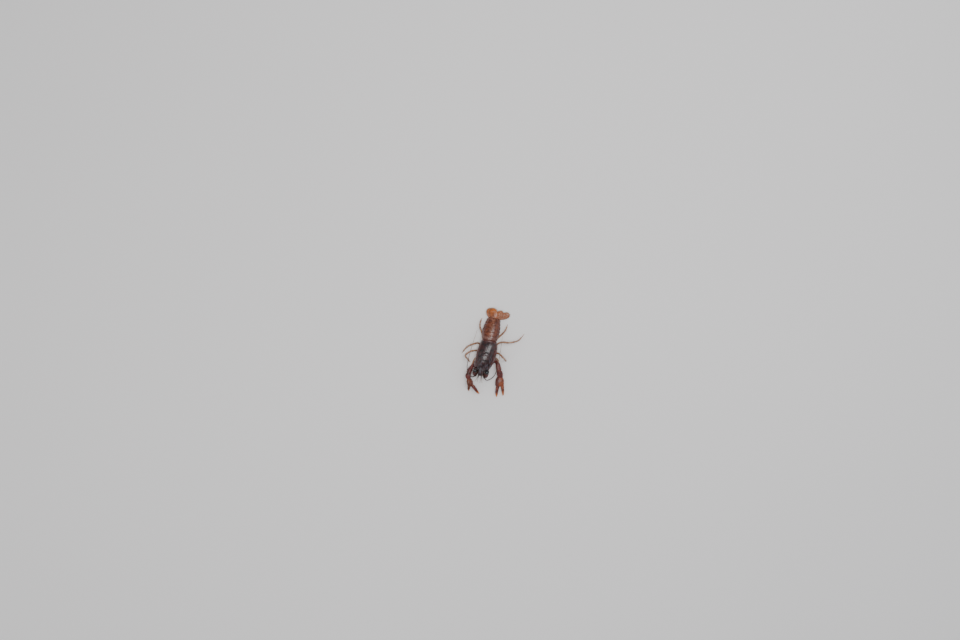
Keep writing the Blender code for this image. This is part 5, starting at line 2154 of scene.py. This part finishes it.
# Each finish: its deep, body and light tones, then the tones at rims and tips
BACK = CarapaceFinish(
    "dark_shell", (0.013, 0.005, 0.005), (0.045, 0.012, 0.011), (0.068, 0.026, 0.023),
    (0.082, 0.016, 0.011), (0.05, 0.016, 0.011), coat=0.45, roughness=(0.24, 0.34), pit_depth=0.003,
)
SCALE = ShellFinish(
    "scale_shell", (0.050, 0.014, 0.013), (0.105, 0.032, 0.030), (0.19, 0.095, 0.080),
    (0.08, 0.03, 0.022), (0.10, 0.04, 0.03), mottle=0.3, coat=0.0, pit=0.07, pit_depth=0.012,
    roughness=(0.60, 0.75),
)
TAIL = TailFinish(
    "tail_shell", (0.085, 0.018, 0.008), (0.190, 0.047, 0.019), (0.29, 0.112, 0.050),
    (0.060, 0.013, 0.008), (0.2, 0.08, 0.03), coat=0.4, flesh=0.06,
)
FAN = FanFinish(
    "fan_shell", (0.195, 0.050, 0.016), (0.35, 0.095, 0.026), (0.43, 0.16, 0.056),
    (0.2, 0.06, 0.02), (0.53, 0.21, 0.056), tip_from=0.6, coat=0.3, flesh=0.15,
)
# The arm's light tone, laid in flecks, is partly mottle and partly painted glint: pale mauve spots where the
# arm catches the light
ARM = ShellFinish(
    "arm_shell", (0.068, 0.014, 0.012), (0.165, 0.036, 0.031), (0.28, 0.135, 0.115),
    (0.16, 0.042, 0.024), (0.1, 0.05, 0.03), coat=0.15, pit=0.12, pit_depth=0.014,
    roughness=(0.36, 0.52),
)
HANDS = {
    Side.LEFT: HandFinish(
        "left_hand_shell", (0.12, 0.025, 0.012), (0.265, 0.064, 0.024), (0.34, 0.125, 0.052),
        (0.23, 0.11, 0.048), (0.60, 0.19, 0.040), tip_from=0.5,
    ),
    Side.RIGHT: HandFinish(
        "right_hand_shell", (0.080, 0.023, 0.012), (0.185, 0.052, 0.024), (0.255, 0.115, 0.055),
        (0.18, 0.075, 0.035), (0.42, 0.12, 0.036), tip_from=0.6,
        inner=(0.16, 0.026, 0.020), inner_x=(-2.3, -1.3),
    ),
}
FINGER = ShellFinish(
    "finger_shell", (0.078, 0.011, 0.008), (0.170, 0.027, 0.015), (0.25, 0.066, 0.030),
    (0.20, 0.09, 0.035), (0.66, 0.20, 0.045), tip_from=0.55, coat=0.2, pit=0.11,
    roughness=(0.30, 0.42),
)
LEG = ShellFinish(
    "leg_shell", (0.27, 0.125, 0.072), (0.46, 0.25, 0.15), (0.56, 0.37, 0.24),
    (0.15, 0.055, 0.032), (0.42, 0.19, 0.10), tip_from=0.8, mottle=0.5, coat=0.35,
    roughness=(0.22, 0.38), pit=0.08, pit_depth=0.004, flesh=0.25,
)
FEELER = ShellFinish(
    "feeler_shell", (0.020, 0.010, 0.008), (0.060, 0.028, 0.018), (0.13, 0.075, 0.045),
    (0.025, 0.012, 0.008), (0.30, 0.14, 0.06), tip_from=0.3, mottle=0.4, coat=0.4,
    pit=0.07, pit_depth=0.004, flesh=0.05,
)
BELLY = ShellFinish(
    "belly_shell", (0.14, 0.09, 0.055), (0.28, 0.20, 0.13), (0.40, 0.32, 0.23),
    (0.2, 0.13, 0.07), (0.4, 0.3, 0.2), roughness=(0.35, 0.5), coat=0.3, pit_depth=0.006, flesh=0.2,
)
LIMB_SEED, FAN_SEED, CLAW_SEED = 11, 23, 40


def main() -> None:
    """Builds every piece and sets the stage."""
    logging.basicConfig(level=logging.INFO, format="%(name)s: %(message)s")
    bristle = HairFinish()
    limb_hairs = Bristles(bristle, LIMB_SEED)
    fan_fringe = Bristles(bristle, FAN_SEED)
    Studio().build()
    Carapace(BACK).build()
    Eyes(EyeFinish(), BACK).build()
    Feelers(FEELER, SCALE, limb_hairs).build()
    Mouthparts(LEG, BELLY, limb_hairs).build()
    for side in Side:
        ClawLeg(
            side, **CLAW_SHAPES[side], roll=CLAW_ROLL[side], arm_finish=ARM, hand_finish=HANDS[side],
            finger_finish=FINGER, bristles=limb_hairs, seed=CLAW_SEED + side.value,
        ).build()
    for (side, number), keys in LEG_SHAPES.items():
        WalkingLeg(side, number, keys, LEG, limb_hairs).build()
    Tail(TAIL, BELLY, limb_hairs).build()
    TailFan(FAN, fan_fringe).build()
    limb_hairs.build("limb_bristles", Slot.LEG)
    fan_fringe.build("fan_fringe", Slot.FAN)


if __name__ == "__main__":
    main()
